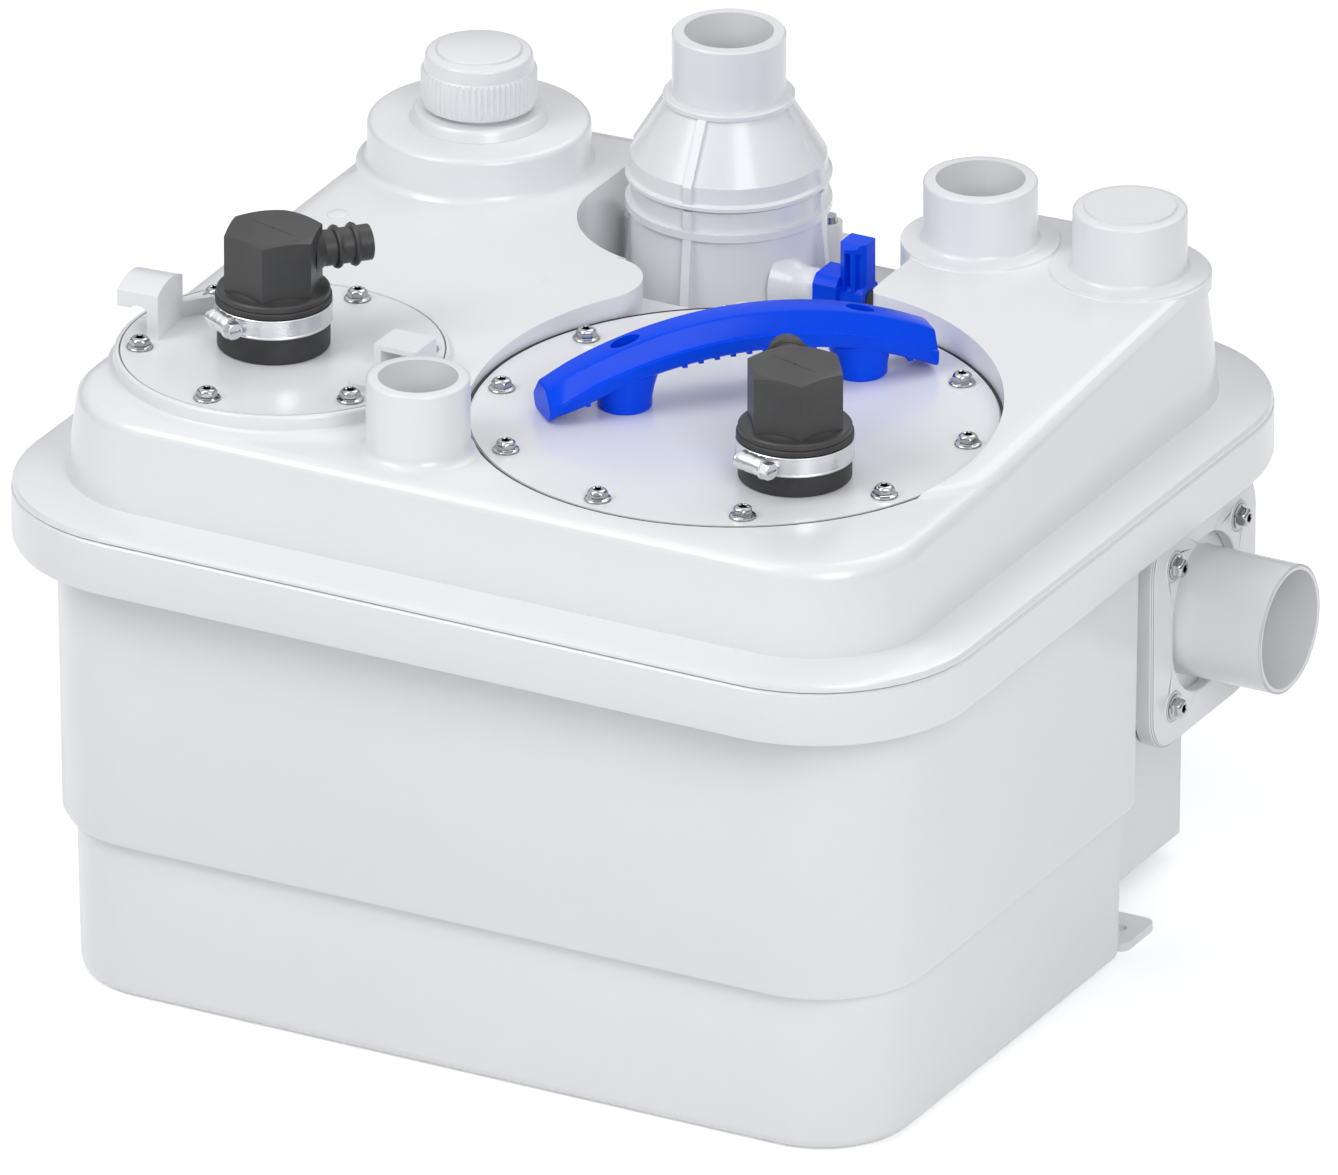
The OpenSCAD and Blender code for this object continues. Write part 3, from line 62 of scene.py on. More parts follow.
def view_axes():
    sa, ca = math.sin(AZIMUTH), math.cos(AZIMUTH)
    se, ce = math.sin(ELEVATION), math.cos(ELEVATION)
    right = Vector((ca, sa, 0))
    up = Vector((-sa * se, ca * se, ce))
    back = Vector((sa * ce, -ca * ce, se))
    return right, up, back


def add_camera():
    right, up, back = view_axes()
    camera = bpy.data.objects.new("camera", bpy.data.cameras.new("camera"))
    bpy.context.scene.collection.objects.link(camera)
    width = FRAME_WIDTH_PX / PX_PER_MM * MM
    camera.data.lens = camera.data.sensor_width * DISTANCE / width
    camera.data.clip_end = 50
    camera.location = right * MIDDLE_RIGHT + up * MIDDLE_UP + back * DISTANCE
    camera.rotation_mode = "QUATERNION"
    camera.rotation_quaternion = back.to_track_quat("Z", "Y")
    bpy.context.scene.camera = camera


# Materials

def new_material(name, color, roughness, metallic=0.0):
    material = bpy.data.materials.new(name)
    material.use_nodes = True
    shader = material.node_tree.nodes["Principled BSDF"]
    shader.inputs["Base Color"].default_value = (*color, 1)
    shader.inputs["Roughness"].default_value = roughness
    shader.inputs["Metallic"].default_value = metallic
    return material, shader


def add_node(material, kind, **values):
    node = material.node_tree.nodes.new(kind)
    for key, value in values.items():
        node.inputs[key].default_value = value
    return node


def noise(material, scale, detail=2.0, stretch=(1, 1, 1)):
    coordinates = add_node(material, "ShaderNodeTexCoord")
    mapping = add_node(material, "ShaderNodeMapping", Scale=stretch)
    texture = add_node(material, "ShaderNodeTexNoise", Scale=scale, Detail=detail)
    link = material.node_tree.links.new
    link(coordinates.outputs["Object"], mapping.inputs["Vector"])
    link(mapping.outputs["Vector"], texture.inputs["Vector"])
    return texture.outputs["Fac"]


def vary(material, shader, socket, source, low, high):
    span = add_node(material, "ShaderNodeMapRange", **{"To Min": low, "To Max": high})
    link = material.node_tree.links.new
    link(source, span.inputs["Value"])
    link(span.outputs["Result"], shader.inputs[socket])


def tint(material, shader, source, dark, light):
    ramp = add_node(material, "ShaderNodeValToRGB")
    ramp.color_ramp.elements[0].position = 0.3
    ramp.color_ramp.elements[0].color = (*dark, 1)
    ramp.color_ramp.elements[1].position = 0.7
    ramp.color_ramp.elements[1].color = (*light, 1)
    link = material.node_tree.links.new
    link(source, ramp.inputs["Fac"])
    link(ramp.outputs["Color"], shader.inputs["Base Color"])


def grain(material, shader, source, strength, depth):
    bump = add_node(material, "ShaderNodeBump", Strength=strength, Distance=depth)
    link = material.node_tree.links.new
    link(source, bump.inputs["Height"])
    link(bump.outputs["Normal"], shader.inputs["Normal"])


def white_plastic():
    material, shader = new_material("white_plastic", (0.80, 0.81, 0.83), 0.30)
    tint(material, shader, noise(material, 6), (0.800, 0.808, 0.824), (0.815, 0.823, 0.839))
    vary(material, shader, "Roughness", noise(material, 12), 0.27, 0.31)
    grain(material, shader, noise(material, 1500, 3), 0.04, 0.0001)
    shader.inputs["Coat Weight"].default_value = 0.3
    shader.inputs["Coat Roughness"].default_value = 0.10
    return material


def black_plastic():
    material, shader = new_material("black_plastic", (0.045, 0.045, 0.047), 0.42)
    tint(material, shader, noise(material, 60), (0.035, 0.035, 0.036), (0.048, 0.048, 0.049))
    vary(material, shader, "Roughness", noise(material, 120, 4), 0.36, 0.50)
    grain(material, shader, noise(material, 2500, 3), 0.15, 0.0002)
    return material


def blue_plastic():
    material, shader = new_material("blue_plastic", (0.0, 0.08, 0.85), 0.30)
    tint(material, shader, noise(material, 30), (0.0, 0.062, 0.82), (0.0, 0.072, 0.88))
    shader.inputs["Specular IOR Level"].default_value = 0.1
    vary(material, shader, "Roughness", noise(material, 90, 4), 0.18, 0.26)
    grain(material, shader, noise(material, 1800, 3), 0.06, 0.0002)
    return material


def clamp_steel():
    material, shader = new_material("clamp_steel", (0.78, 0.79, 0.81), 0.28, 1.0)
    tint(material, shader, noise(material, 40), (0.74, 0.75, 0.77), (0.82, 0.83, 0.85))
    vary(material, shader, "Roughness", noise(material, 300, 4, (1, 1, 12)), 0.22, 0.38)
    return material


def polished_steel():
    """Bright screw steel with painted shade: an ambient occlusion mask darkens its creases and recesses."""
    material, shader = new_material("polished_steel", (0.55, 0.56, 0.57), 0.14, 1.0)
    # painted shade: near-black colour wherever the surface is occluded
    crease_shade = add_node(material, "ShaderNodeAmbientOcclusion", Distance=0.0035)
    crease_shade.samples = 8
    tint(material, shader, crease_shade.outputs["AO"], (0.008, 0.008, 0.009), (0.46, 0.47, 0.48))
    vary(material, shader, "Roughness", noise(material, 700, 4), 0.07, 0.15)
    return material


def dull_steel():
    material, shader = new_material("dull_steel", (0.55, 0.56, 0.58), 0.35, 1.0)
    vary(material, shader, "Roughness", noise(material, 200, 5, (1, 1, 20)), 0.28, 0.45)
    grain(material, shader, noise(material, 400, 4, (1, 1, 20)), 0.08, 0.0002)
    return material


def rubber():
    material, shader = new_material("rubber", (0.022, 0.022, 0.023), 0.55)
    tint(material, shader, noise(material, 90), (0.026, 0.026, 0.027), (0.038, 0.038, 0.039))
    vary(material, shader, "Roughness", noise(material, 200, 4), 0.48, 0.62)
    grain(material, shader, noise(material, 3000, 3), 0.2, 0.0002)
    return material


def winding():
    material, shader = new_material("winding", (0.42, 0.18, 0.07), 0.35, 0.6)
    tint(material, shader, noise(material, 500, 2, (1, 1, 8)), (0.30, 0.12, 0.05), (0.55, 0.26, 0.10))
    return material


MATERIALS = {
    "white_plastic": white_plastic(),
    "black_plastic": black_plastic(),
    "blue_plastic": blue_plastic(),
    "steel": dull_steel(),
    "chrome": polished_steel(),
    "black_rubber": rubber(),
    "winding": winding(),
}
CLAMP_STEEL = clamp_steel()
SLOTS = {entry["node"]: entry["material_slot"] for entry in frame["record"]["subparts"]}

# Rounding of the moulded edges of each node
EDGE = {"tank": 1.2, "lid": 1.0, "drain_lever": 0.8, "valve_body": 0.7, "valve_top": 0.7, "short_cap": 0.7,
        "long_cap": 0.7, "motor_plate": 0.6, "sensor_plate": 0.6, "inlet_flange": 1.0, "inlet_pipe": 0.6}
SMALL_EDGE = 0.3
WELD_GAP = 0.02
SMOOTH_ANGLE = math.radians(32)
# The angle from which an edge is softened, where a node needs its own
CRISP_ANGLE = {"valve_top": math.radians(22), "short_cap": math.radians(26), "long_cap": math.radians(26)}


def dress_node(name, node):
    """Gives a CAD node its material, smooth faces and softened edges; its own vertices stay as they are."""
    node.data.materials.clear()
    node.data.materials.append(MATERIALS[SLOTS[name]])
    if "custom_normal" in node.data.attributes:
        node.data.attributes.remove(node.data.attributes["custom_normal"])
    for polygon in node.data.polygons:
        polygon.use_smooth = True
    weld = node.modifiers.new("weld", "WELD")
    weld.merge_threshold = WELD_GAP * MM
    bevel = node.modifiers.new("edge", "BEVEL")
    bevel.width = EDGE.get(name, SMALL_EDGE) * MM
    bevel.segments = 3
    bevel.limit_method = "ANGLE"
    bevel.angle_limit = CRISP_ANGLE.get(name, SMOOTH_ANGLE)
    bevel.miter_outer = "MITER_ARC"
    bevel.harden_normals = True


for node_name, node in nodes.items():
    dress_node(node_name, node)


# Sizes and places taken from the frame, in millimetres

def top_of(node):
    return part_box(node)[1][2] / MM


def middle_of(node):
    low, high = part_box(node)
    return Vector([(a + b) / 2 / MM for a, b in zip(low, high)])


def boot_axis(node, kind, height, turn):
    """A place at that height on the axis of the boot that belongs to a clamp or a cap."""
    middle = middle_of(node.replace(kind, "boot"))
    at = Vector((middle.x, middle.y, height)) * MM
    return Matrix.Translation(at) @ Matrix.Rotation(math.radians(turn), 4, "Z")


# Pieces built as rings of points in millimetres

RING_POINTS = 48


def ring_of(radius_at, height, count=RING_POINTS):
    turns = [2 * math.pi * i / count for i in range(count)]
    return [(radius_at(t) * math.cos(t), radius_at(t) * math.sin(t), height) for t in turns]


def circle(radius, height):
    return ring_of(lambda t: radius, height)


def hexagon(across, height, limit=100):
    """A hexagon of that width across its flats, with its corners cut off at a limiting radius."""
    return ring_of(lambda t: min(across / 2 / math.cos(t % (math.pi / 3) - math.pi / 6), limit), height)


def star(radius, lobe, height):
    return ring_of(lambda t: radius + lobe * math.cos(6 * t), height)


def slit(half_length, half_width, height):
    return ring_of(lambda t: min(half_length, half_width / max(abs(math.sin(t)), 0.001)), height)


def skin(bm, rings, place, closed=False):
    """Joins rings of points one after another, in a loop where closed and with end faces otherwise."""
    rows = [[bm.verts.new(place @ (Vector(point) * MM)) for point in ring] for ring in rings]
    count = len(rows[0])
    for low, high in zip(rows, rows[1:] + rows[:1] if closed else rows[1:]):
        for i in range(count):
            j = (i + 1) % count
            bm.faces.new((low[i], low[j], high[j], high[i]))
    if not closed:
        bm.faces.new(list(reversed(rows[0])))
        bm.faces.new(rows[-1])


def finish_piece(name, bm, material, sharp=30, replaced=(), body="housing"):
    bmesh.ops.recalc_face_normals(bm, faces=bm.faces)
    mesh = bpy.data.meshes.new(name)
    bm.to_mesh(mesh)
    bm.free()
    mesh.polygons.foreach_set("use_smooth", [True] * len(mesh.polygons))
    mesh.set_sharp_from_angle(angle=math.radians(sharp))
    mesh.materials.append(material)
    piece = bpy.data.objects.new(name, mesh)
    bpy.context.scene.collection.objects.link(piece)
    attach(piece, body)
    if replaced:
        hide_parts(*replaced)
    return piece


# Flanged hexagon screws with a domed head and a six-lobed recess

SCREW_SHANK = 4.8
SCREW_LENGTH = 11.5
SCREW_FLANGE = 11.8
SCREW_FLATS = 8.0
SCREW_HEAD = 5.0


def screw_rings():
    flange = SCREW_FLANGE / 2
    top = SCREW_HEAD
    return [circle(SCREW_SHANK / 2, -SCREW_LENGTH), circle(SCREW_SHANK / 2, 0), circle(flange - 0.4, 0),
            circle(flange, 0.3), circle(flange, 0.6), circle(flange - 0.25, 0.9), circle(flange - 0.9, 1.1),
            hexagon(SCREW_FLATS + 0.3, 1.3), hexagon(SCREW_FLATS, 1.6), hexagon(SCREW_FLATS, top - 1.7),
            hexagon(SCREW_FLATS, top - 1.4, 4.45), hexagon(SCREW_FLATS - 0.2, top - 0.9, 4.0),
            circle(3.6, top - 0.5), circle(3.0, top - 0.15), circle(2.4, top), circle(2.15, top - 0.05),
            star(1.85, 0.3, top - 0.3), star(1.75, 0.3, top - 1.6), star(0.7, 0.1, top - 1.9)]


def seat_top(plate):
    """Height of a plate's upper face, which is where its screws sit."""
    return top_of(plate + "_screws") - SCREW_HEAD


def plate_middle(plate):
    """The middle of a plate at floor level; its screws lie evenly round it."""
    middle = middle_of(plate + "_screws")
    return Vector((middle.x, middle.y, 0))


def plate_screw_places(plate, pitch_diameter, count, first):
    places = []
    for k in range(count):
        a = math.radians(first + 360 * k / count)
        outward = Vector((math.cos(a), math.sin(a), 0)) * pitch_diameter / 2
        at = plate_middle(plate) + outward + Vector((0, 0, seat_top(plate)))
        places.append(Matrix.Translation(at * MM) @ Matrix.Rotation(a, 4, "Z"))
    return places


def inlet_bolt_places():
    """The four bolts lie in the corners of their node's box, heads outward."""
    low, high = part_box("inlet_bolts")
    margin = SCREW_FLANGE / 2
    seat_x = high[0] / MM - SCREW_HEAD
    places = []
    for y in (low[1] / MM + margin, high[1] / MM - margin):
        for z in (low[2] / MM + margin, high[2] / MM - margin):
            at = Vector((seat_x, y, z))
            places.append(Matrix.Translation(at * MM) @ Matrix.Rotation(math.pi / 2, 4, "Y"))
    return places


def add_screws(node, places):
    bm = bmesh.new()
    for place in places:
        skin(bm, screw_rings(), place)
    finish_piece(node + "_detailed", bm, MATERIALS["chrome"], sharp=28, replaced=(node,))


MOTOR_PITCH = 210
MOTOR_SCREW_COUNT = 10
MOTOR_FIRST_TURN = -60
SENSOR_PITCH = 124
SENSOR_SCREW_COUNT = 6
SENSOR_FIRST_TURN = -33
motor_screws = plate_screw_places("motor_plate", MOTOR_PITCH, MOTOR_SCREW_COUNT, MOTOR_FIRST_TURN)
sensor_screws = plate_screw_places("sensor_plate", SENSOR_PITCH, SENSOR_SCREW_COUNT, SENSOR_FIRST_TURN)
add_screws("motor_plate_screws", motor_screws)
add_screws("sensor_plate_screws", sensor_screws)
add_screws("inlet_bolts", inlet_bolt_places())


# Black rings in the gaps round the two plates, painted shade that darkens the gap lines

GAP_SHADE_DROP = 0.15
GAP_SHADE_DEPTH = 2
GAP_SHADE_CLEARANCE = 0.05
GAP_SHADE_CORNER = 0.15
GAP_SHADE_STEPS = 180
MOTOR_SHADE_GAP = 1.2
SENSOR_SHADE_GAP = 0.8
# the large plate's shade ring leaves out the lifting eyelet at 116 degrees
MOTOR_SHADE_START = 120
MOTOR_SHADE_TURN = 352
# nearly a full turn, so that the two ends of a shade ring stay apart
SENSOR_SHADE_TURN = 359.5


def gap_shade_rings(inner, outer, top, start, turn):
    low = top - GAP_SHADE_DEPTH
    corner = [(outer, top - GAP_SHADE_CORNER), (outer - GAP_SHADE_CORNER, top)]
    section = [(inner, low), (outer, low)] + corner + [(inner, top)]
    rings = []
    for k in range(GAP_SHADE_STEPS + 1):
        a = math.radians(start + turn * k / GAP_SHADE_STEPS)
        rings.append([(r * math.cos(a), r * math.sin(a), z) for r, z in section])
    return rings


def add_plate_gap_shade(plate, gap, start, turn):
    low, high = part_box(plate)
    radius = (high[0] - low[0]) / 2 / MM
    inner = radius + GAP_SHADE_CLEARANCE
    outer = radius + gap - GAP_SHADE_CLEARANCE
    bm = bmesh.new()
    rings = gap_shade_rings(inner, outer, seat_top(plate) - GAP_SHADE_DROP, start, turn)
    skin(bm, rings, Matrix.Translation(plate_middle(plate) * MM))
    # painted shade: a black rubber ring sunk in the gap so that the gap shows dark
    finish_piece(plate + "_seal", bm, MATERIALS["black_rubber"])


add_plate_gap_shade("motor_plate", MOTOR_SHADE_GAP, MOTOR_SHADE_START, MOTOR_SHADE_TURN)
add_plate_gap_shade("sensor_plate", SENSOR_SHADE_GAP, 0, SENSOR_SHADE_TURN)


# Band clamps: a band with rolled edges, a stamped housing, and a screw with a slotted hexagon head

BAND_INSIDE = 24.9
BAND_OUTSIDE = 25.9
BAND_WIDTH = 9.0
BAND_STEPS = 120
# the housing's base sinks into the band, its half round stands out, and the screw lies beyond that
BARREL_SINK = 0.15
BARREL_OUT = 1.75
SCREW_OUT = 0.85
BARREL_FOOT = -0.6
BARREL_STEPS = 20
SHORT_CLAMP_TURN = -104.5
LONG_CLAMP_TURN = -117


def band_rings():
    inner, outer, w = BAND_INSIDE, BAND_OUTSIDE, BAND_WIDTH
    rolled = [(outer - 0.2, 0), (outer, 0.25), (outer, 0.8), (outer - 0.2, 1.1)]
    lower = [(inner, 0.4), (inner + 0.2, 0)] + rolled
    section = lower + [(r, w - z) for r, z in reversed(lower)]
    rings = []
    for k in range(BAND_STEPS):
        a = 2 * math.pi * k / BAND_STEPS
        rings.append([(r * math.cos(a), r * math.sin(a), z) for r, z in section])
    return rings


def barrel_ring(radius, along):
    """Section of the housing across the screw: flat against the band, half round outside."""
    outside = [math.radians(-90 + 180 * i / BARREL_STEPS) for i in range(BARREL_STEPS + 1)]
    points = [(BARREL_OUT + radius * math.cos(a), radius * math.sin(a), along) for a in outside]
    return points + [(BARREL_FOOT, radius, along), (BARREL_FOOT, -radius, along)]


def barrel_rings():
    half = [(1.8, 4.2), (2.2, 3.95), (3.2, 3.95), (3.6, 4.2), (5.6, 4.2), (6.2, 4.05), (6.5, 3.7)]
    stamped = [(-along, radius) for along, radius in reversed(half)] + half
    return [barrel_ring(radius, along) for along, radius in stamped]


def clamp_screw_rings():
    thread = [circle(1.6, -8.2), circle(2.7, -7.9), circle(3.0, -7.4), circle(3.0, 7.4)]
    collar = [circle(4.2, 7.5), circle(4.5, 7.8), circle(4.5, 8.2), circle(4.2, 8.4)]
    head = [hexagon(7.2, 8.5), hexagon(7.2, 11.9), hexagon(7.2, 12.2, 3.85), hexagon(7.1, 12.5, 3.5)]
    slot = [circle(3.1, 12.5), slit(2.9, 0.55, 12.4), slit(2.8, 0.5, 10.9)]
    return thread + collar + head + slot


def add_clamp(node, turn):
    # the housing sticks out on one side only, so the band's middle comes from the boot inside it
    place = boot_axis(node, "clamp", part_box(node)[0][2] / MM, turn)
    bm = bmesh.new()
    skin(bm, band_rings(), place, closed=True)
    side = Matrix.Translation(Vector((BAND_OUTSIDE - BARREL_SINK, 0, BAND_WIDTH / 2)) * MM)
    housing = place @ side @ Matrix.Rotation(-math.pi / 2, 4, "X")
    skin(bm, barrel_rings(), housing)
    screw = housing @ Matrix.Translation(Vector((BARREL_OUT + SCREW_OUT, 0, 0)) * MM)
    skin(bm, clamp_screw_rings(), screw)
    finish_piece(node + "_detailed", bm, CLAMP_STEEL, replaced=(node,))


add_clamp("short_clamp", SHORT_CLAMP_TURN)
add_clamp("long_clamp", LONG_CLAMP_TURN)


# The blue carrying handle: an arched grip, hollow underneath, on two flared posts with a sunk screw in each

HANDLE_TURN = 47.3
HANDLE_LEFT = -92
HANDLE_RIGHT = 86.5
ARCH_RADIUS = 200
CROWN_TOP = 37.7
GRIP_HEIGHT = 16.2
GRIP_WIDTH = 25.0
HOLLOW_DEPTH = 7.0
END_WALL = 3.5
# the end's rounding: distance in from the tip, and scale of the section there
END_ROUNDING = [(0, 0.90), (0.3, 0.95), (0.8, 0.985), (1.6, 1), (END_WALL, 1)]
# the hollow begins this far inside the end wall, and the grip has this many steps along it
HOLLOW_START = 0.01
GRIP_STEPS = 42
# half of the grip's section: distance from its middle plane, and depth under the crown
CROWN_SIDE = [(0, 0), (5.4, 0), (6.0, 0.15), (6.6, 0.6)]
LEDGE_SIDE = [(10.6, 8.0), (10.9, 8.4), (12.2, 8.5), (12.5, 8.8)]
SKIRT_SIDE = [(12.5, 13), (11.9, 14.8), (10.6, 15.9), (9.3, 16.2)]
GRIP_SIDE = CROWN_SIDE + LEDGE_SIDE + SKIRT_SIDE
FOOT_HALF_WIDTH = SKIRT_SIDE[-1][0]
# half of the hollow's section: distance from the middle plane, and share of its depth
HOLLOW_SIDE = [(8.8, 0), (8.5, 1), (0, 1)]
# the left end is rounded towards an ellipse from this place on, over this length, up to this share
ROUNDED_FROM = -78
ROUNDED_OVER = 14
ROUNDED_MOST = 0.75
POST_PITCH = 108
POST_PLACES = (-POST_PITCH / 2, POST_PITCH / 2)
# the posts' half length, half width and height, from the plate up into the grip
POST_FOOT = [(11.4, 11.4, 0), (12.0, 12.0, 0.8), (12.1, 12.0, 5)]
POST_FLARE = [(13.2, 12.1, 10), (15.4, 12.2, 16), (11, 9, 21), (7, 5, 24.5)]
PIT_FLOOR = 17
PIT_HALF_LENGTH = 6.6
PIT_HALF_WIDTH = 3.9
RIB_SPACING = 7.4
RIB_COUNT = 21
RIB_HALF_WIDTH = 1.1
RIB_REACH = 9.8
RIB_BELOW = 1.3
# ribs nearer to a post's middle than this would lie in the post
RIB_CLEARANCE = 17
HANDLE_EDGE = 0.25


def arch_drop(x):
    return ARCH_RADIUS - math.sqrt(ARCH_RADIUS ** 2 - x * x)


def rounded_towards(y, depth, share):
    """Moves a point of the section towards the ellipse that fills it."""
    a, b = GRIP_WIDTH / 2, GRIP_HEIGHT / 2
    angle = math.atan2(b - depth, y)
    reach = a * b / math.hypot(b * math.cos(angle), a * math.sin(angle))
    return (y + (reach * math.cos(angle) - y) * share, depth + (b - reach * math.sin(angle) - depth) * share)


def grip_ring(x, scale):
    share = min(max((ROUNDED_FROM - x) / ROUNDED_OVER, 0), ROUNDED_MOST)
    hollow = HOLLOW_DEPTH if HANDLE_LEFT + END_WALL < x < HANDLE_RIGHT - END_WALL else 0
    side = [rounded_towards(y, depth, share) for y, depth in GRIP_SIDE]
    foot = side[-1][1]
    narrowed = side[-1][0] / FOOT_HALF_WIDTH
    side += [(y * narrowed, foot - hollow * deep) for y, deep in HOLLOW_SIDE]
    outline = side + [(-y, depth) for y, depth in reversed(side[1:-1])]
    middle = GRIP_HEIGHT / 2
    top = CROWN_TOP - arch_drop(x)
    return [(x, y * scale, top - middle - (depth - middle) * scale) for y, depth in outline]


def grip_rings():
    first = HANDLE_LEFT + END_WALL + HOLLOW_START
    last = HANDLE_RIGHT - END_WALL - HOLLOW_START
    stations = [(HANDLE_LEFT + inward, scale) for inward, scale in END_ROUNDING]
    stations += [(first + (last - first) * k / GRIP_STEPS, 1) for k in range(GRIP_STEPS + 1)]
    stations += [(HANDLE_RIGHT - inward, scale) for inward, scale in reversed(END_ROUNDING)]
    return [grip_ring(x, scale) for x, scale in stations]


def oval(half_length, half_width, height, x=0):
    turns = [2 * math.pi * i / RING_POINTS for i in range(RING_POINTS)]
    return [(x + half_length * math.cos(t), half_width * math.sin(t), height) for t in turns]


def rib_rings(x):
    top = CROWN_TOP - arch_drop(x) - GRIP_HEIGHT + HOLLOW_DEPTH
    low = top - HOLLOW_DEPTH - RIB_BELOW
    left = x - RIB_HALF_WIDTH
    right = x + RIB_HALF_WIDTH
    corners = [(left, low), (right, low), (right, top), (left, top)]
    return [[(along, y, z) for along, z in corners] for y in (-RIB_REACH, RIB_REACH)]


def solid_of(rings, place):
    bm = bmesh.new()
    skin(bm, rings, place)
    bmesh.ops.recalc_face_normals(bm, faces=bm.faces)
    mesh = bpy.data.meshes.new("working_solid")
    bm.to_mesh(mesh)
    bm.free()
    solid = bpy.data.objects.new("working_solid", mesh)
    bpy.context.scene.collection.objects.link(solid)
    return solid


def combine(base, other, operation):
    """Joins the other solid to the base, or cuts it out, and removes it."""
    change = base.modifiers.new("combine", "BOOLEAN")
    change.operation = operation
    change.solver = "EXACT"
    change.object = other
    mesh = bpy.data.meshes.new_from_object(base.evaluated_get(bpy.context.evaluated_depsgraph_get()))
    base.modifiers.clear()
    base.data = mesh
    bpy.data.objects.remove(other)


def handle_place():
    """On the large plate, midway between the handle's screws, turned along the grip."""
    middle = middle_of("handle_screws")
    at = Vector((middle.x, middle.y, seat_top("motor_plate")))
    return Matrix.Translation(at * MM) @ Matrix.Rotation(math.radians(HANDLE_TURN), 4, "Z")


def posts_and_pits(grip, place):
    above = CROWN_TOP + 5
    for x in POST_PLACES:
        post = [oval(length, width, z, x) for length, width, z in POST_FOOT + POST_FLARE]
        combine(grip, solid_of(post, place), "UNION")
    for x in POST_PLACES:
        pit = [oval(PIT_HALF_LENGTH, PIT_HALF_WIDTH, z, x) for z in (PIT_FLOOR, above)]
        combine(grip, solid_of(pit, place), "DIFFERENCE")


def soften_handle(handle):
    edge = handle.modifiers.new("edge", "BEVEL")
    edge.width = HANDLE_EDGE * MM
    edge.segments = 3
    edge.limit_method = "ANGLE"
    edge.angle_limit = math.radians(40)
    edge.harden_normals = True


def add_handle():
    place = handle_place()
    grip = solid_of(grip_rings(), place)
    posts_and_pits(grip, place)
    bm = bmesh.new()
    bm.from_mesh(grip.data)
    bpy.data.objects.remove(grip)
    for k in range(RIB_COUNT):
        x = (k - (RIB_COUNT - 1) / 2) * RIB_SPACING
        if abs(abs(x) - POST_PITCH / 2) > RIB_CLEARANCE:
            skin(bm, rib_rings(x), place)
    name = "carry_handle"
    slot = SLOTS[name]
    soften_handle(finish_piece(name + "_detailed", bm, MATERIALS[slot], sharp=18, replaced=(name,)))


def handle_screw_rings():
    z = PIT_FLOOR
    head = [circle(3.7, z), circle(3.7, z + 3), circle(3.4, z + 3.5), circle(2.1, z + 3.5)]
    recess = [star(1.7, 0.25, z + 2), star(0.8, 0.1, z + 1.8)]
    return [circle(2.4, -3.5), circle(2.4, z)] + head + recess


def add_handle_screws():
    bm = bmesh.new()
    for x in POST_PLACES:
        skin(bm, handle_screw_rings(), handle_place() @ Matrix.Translation(Vector((x, 0, 0)) * MM))
    name = "handle_screws"
    slot = SLOTS[name]
    finish_piece(name + "_detailed", bm, MATERIALS[slot], sharp=28, replaced=(name,))


add_handle()
add_handle_screws()


# The vent's cap: a knurled skirt under a smooth shoulder and a raised disc, hollow over the neck

KNURLS = 60
KNURL_POINTS = 8 * KNURLS
KNURL_DEPTH = 0.75
CAP_RADIUS = 25.7
CAP_HEIGHT = 26.0
CAP_BORE = 21.05
CAP_BORE_DEPTH = 14.8


def cap_rings():
    def plain(radius, height):
        return ring_of(lambda t: radius, height, KNURL_POINTS)

    def knurled(radius, height):
        def groove(t):
            return KNURL_DEPTH * abs(math.sin(KNURLS * t / 2)) ** 1.5
        return ring_of(lambda t: radius - groove(t), height, KNURL_POINTS)

    r = CAP_RADIUS
    top = CAP_HEIGHT
    bore = [plain(1, CAP_BORE_DEPTH), plain(CAP_BORE, CAP_BORE_DEPTH), plain(CAP_BORE, 0)]
    foot = [plain(r - 1.2, 0), plain(r - 0.7, 0.3), plain(r - 0.7, 1.0)]
    skirt = [knurled(r - 0.15, 1.5), knurled(r, 2.2), knurled(r, 15.6), knurled(r - 0.3, 16.4)]
    shoulder = [plain(r - 0.9, 17), plain(r - 1.3, 17.4), plain(r - 1.9, 22.6), plain(r - 2.2, 23.4)]
    brow = [plain(r - 2.8, 24.0), plain(r - 3.4, 24.2), plain(18.9, 24.4)]
    disc = [plain(18.75, 24.6), plain(18.7, 25.5), plain(18.4, top - 0.15), plain(17.9, top), plain(1, top)]
    return bore + foot + skirt + shoulder + brow + disc


def add_vent_cap():
    middle = middle_of("vent_cap")
    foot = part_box("vent_cap")[0][2] / MM
    bm = bmesh.new()
    skin(bm, cap_rings(), Matrix.Translation(Vector((middle.x, middle.y, foot)) * MM))
    name = "vent_cap"
    slot = SLOTS[name]
    finish_piece(name + "_detailed", bm, MATERIALS[slot], sharp=35, replaced=(name,), body="cap")


add_vent_cap()


# Small marks of the moulding, laid on the surface under them

ABOVE_ALL = 500
# each mark on the lid: radius, height, and place across the lid
LID_MARKS = ((4.8, 0.5, (-174, 40)), (1.4, 0.25, (-60, 20)))
CAP_LINE_TURN = -15.6
# the line on a black cap: distance from its middle, half width and height at each place along it
CAP_LINE = ((0.9, 0.12, 0.06), (2.0, 0.16, 0.1), (11.0, 0.14, 0.08), (14.0, 0.05, 0.02))
CAP_LINE_FOOT = -0.2


def mark_place(node, x, y):
    """Where a line straight down meets a CAD node, set square to the surface there."""
    tree = BVHTree.FromObject(nodes[node], bpy.context.evaluated_depsgraph_get())
    place, normal, _, _ = tree.ray_cast(Vector((x, y, ABOVE_ALL)) * MM, Vector((0, 0, -1)))
    return Matrix.Translation(place) @ normal.to_track_quat("Z", "Y").to_matrix().to_4x4()


def disc_rings(radius, height):
    edge = min(0.3, height / 2)
    wall = [circle(radius, -1), circle(radius, height - edge)]
    corner = [circle(radius - edge * 0.3, height - edge * 0.3), circle(radius - edge, height)]
    return wall + corner + [circle(radius * 0.3, height)]


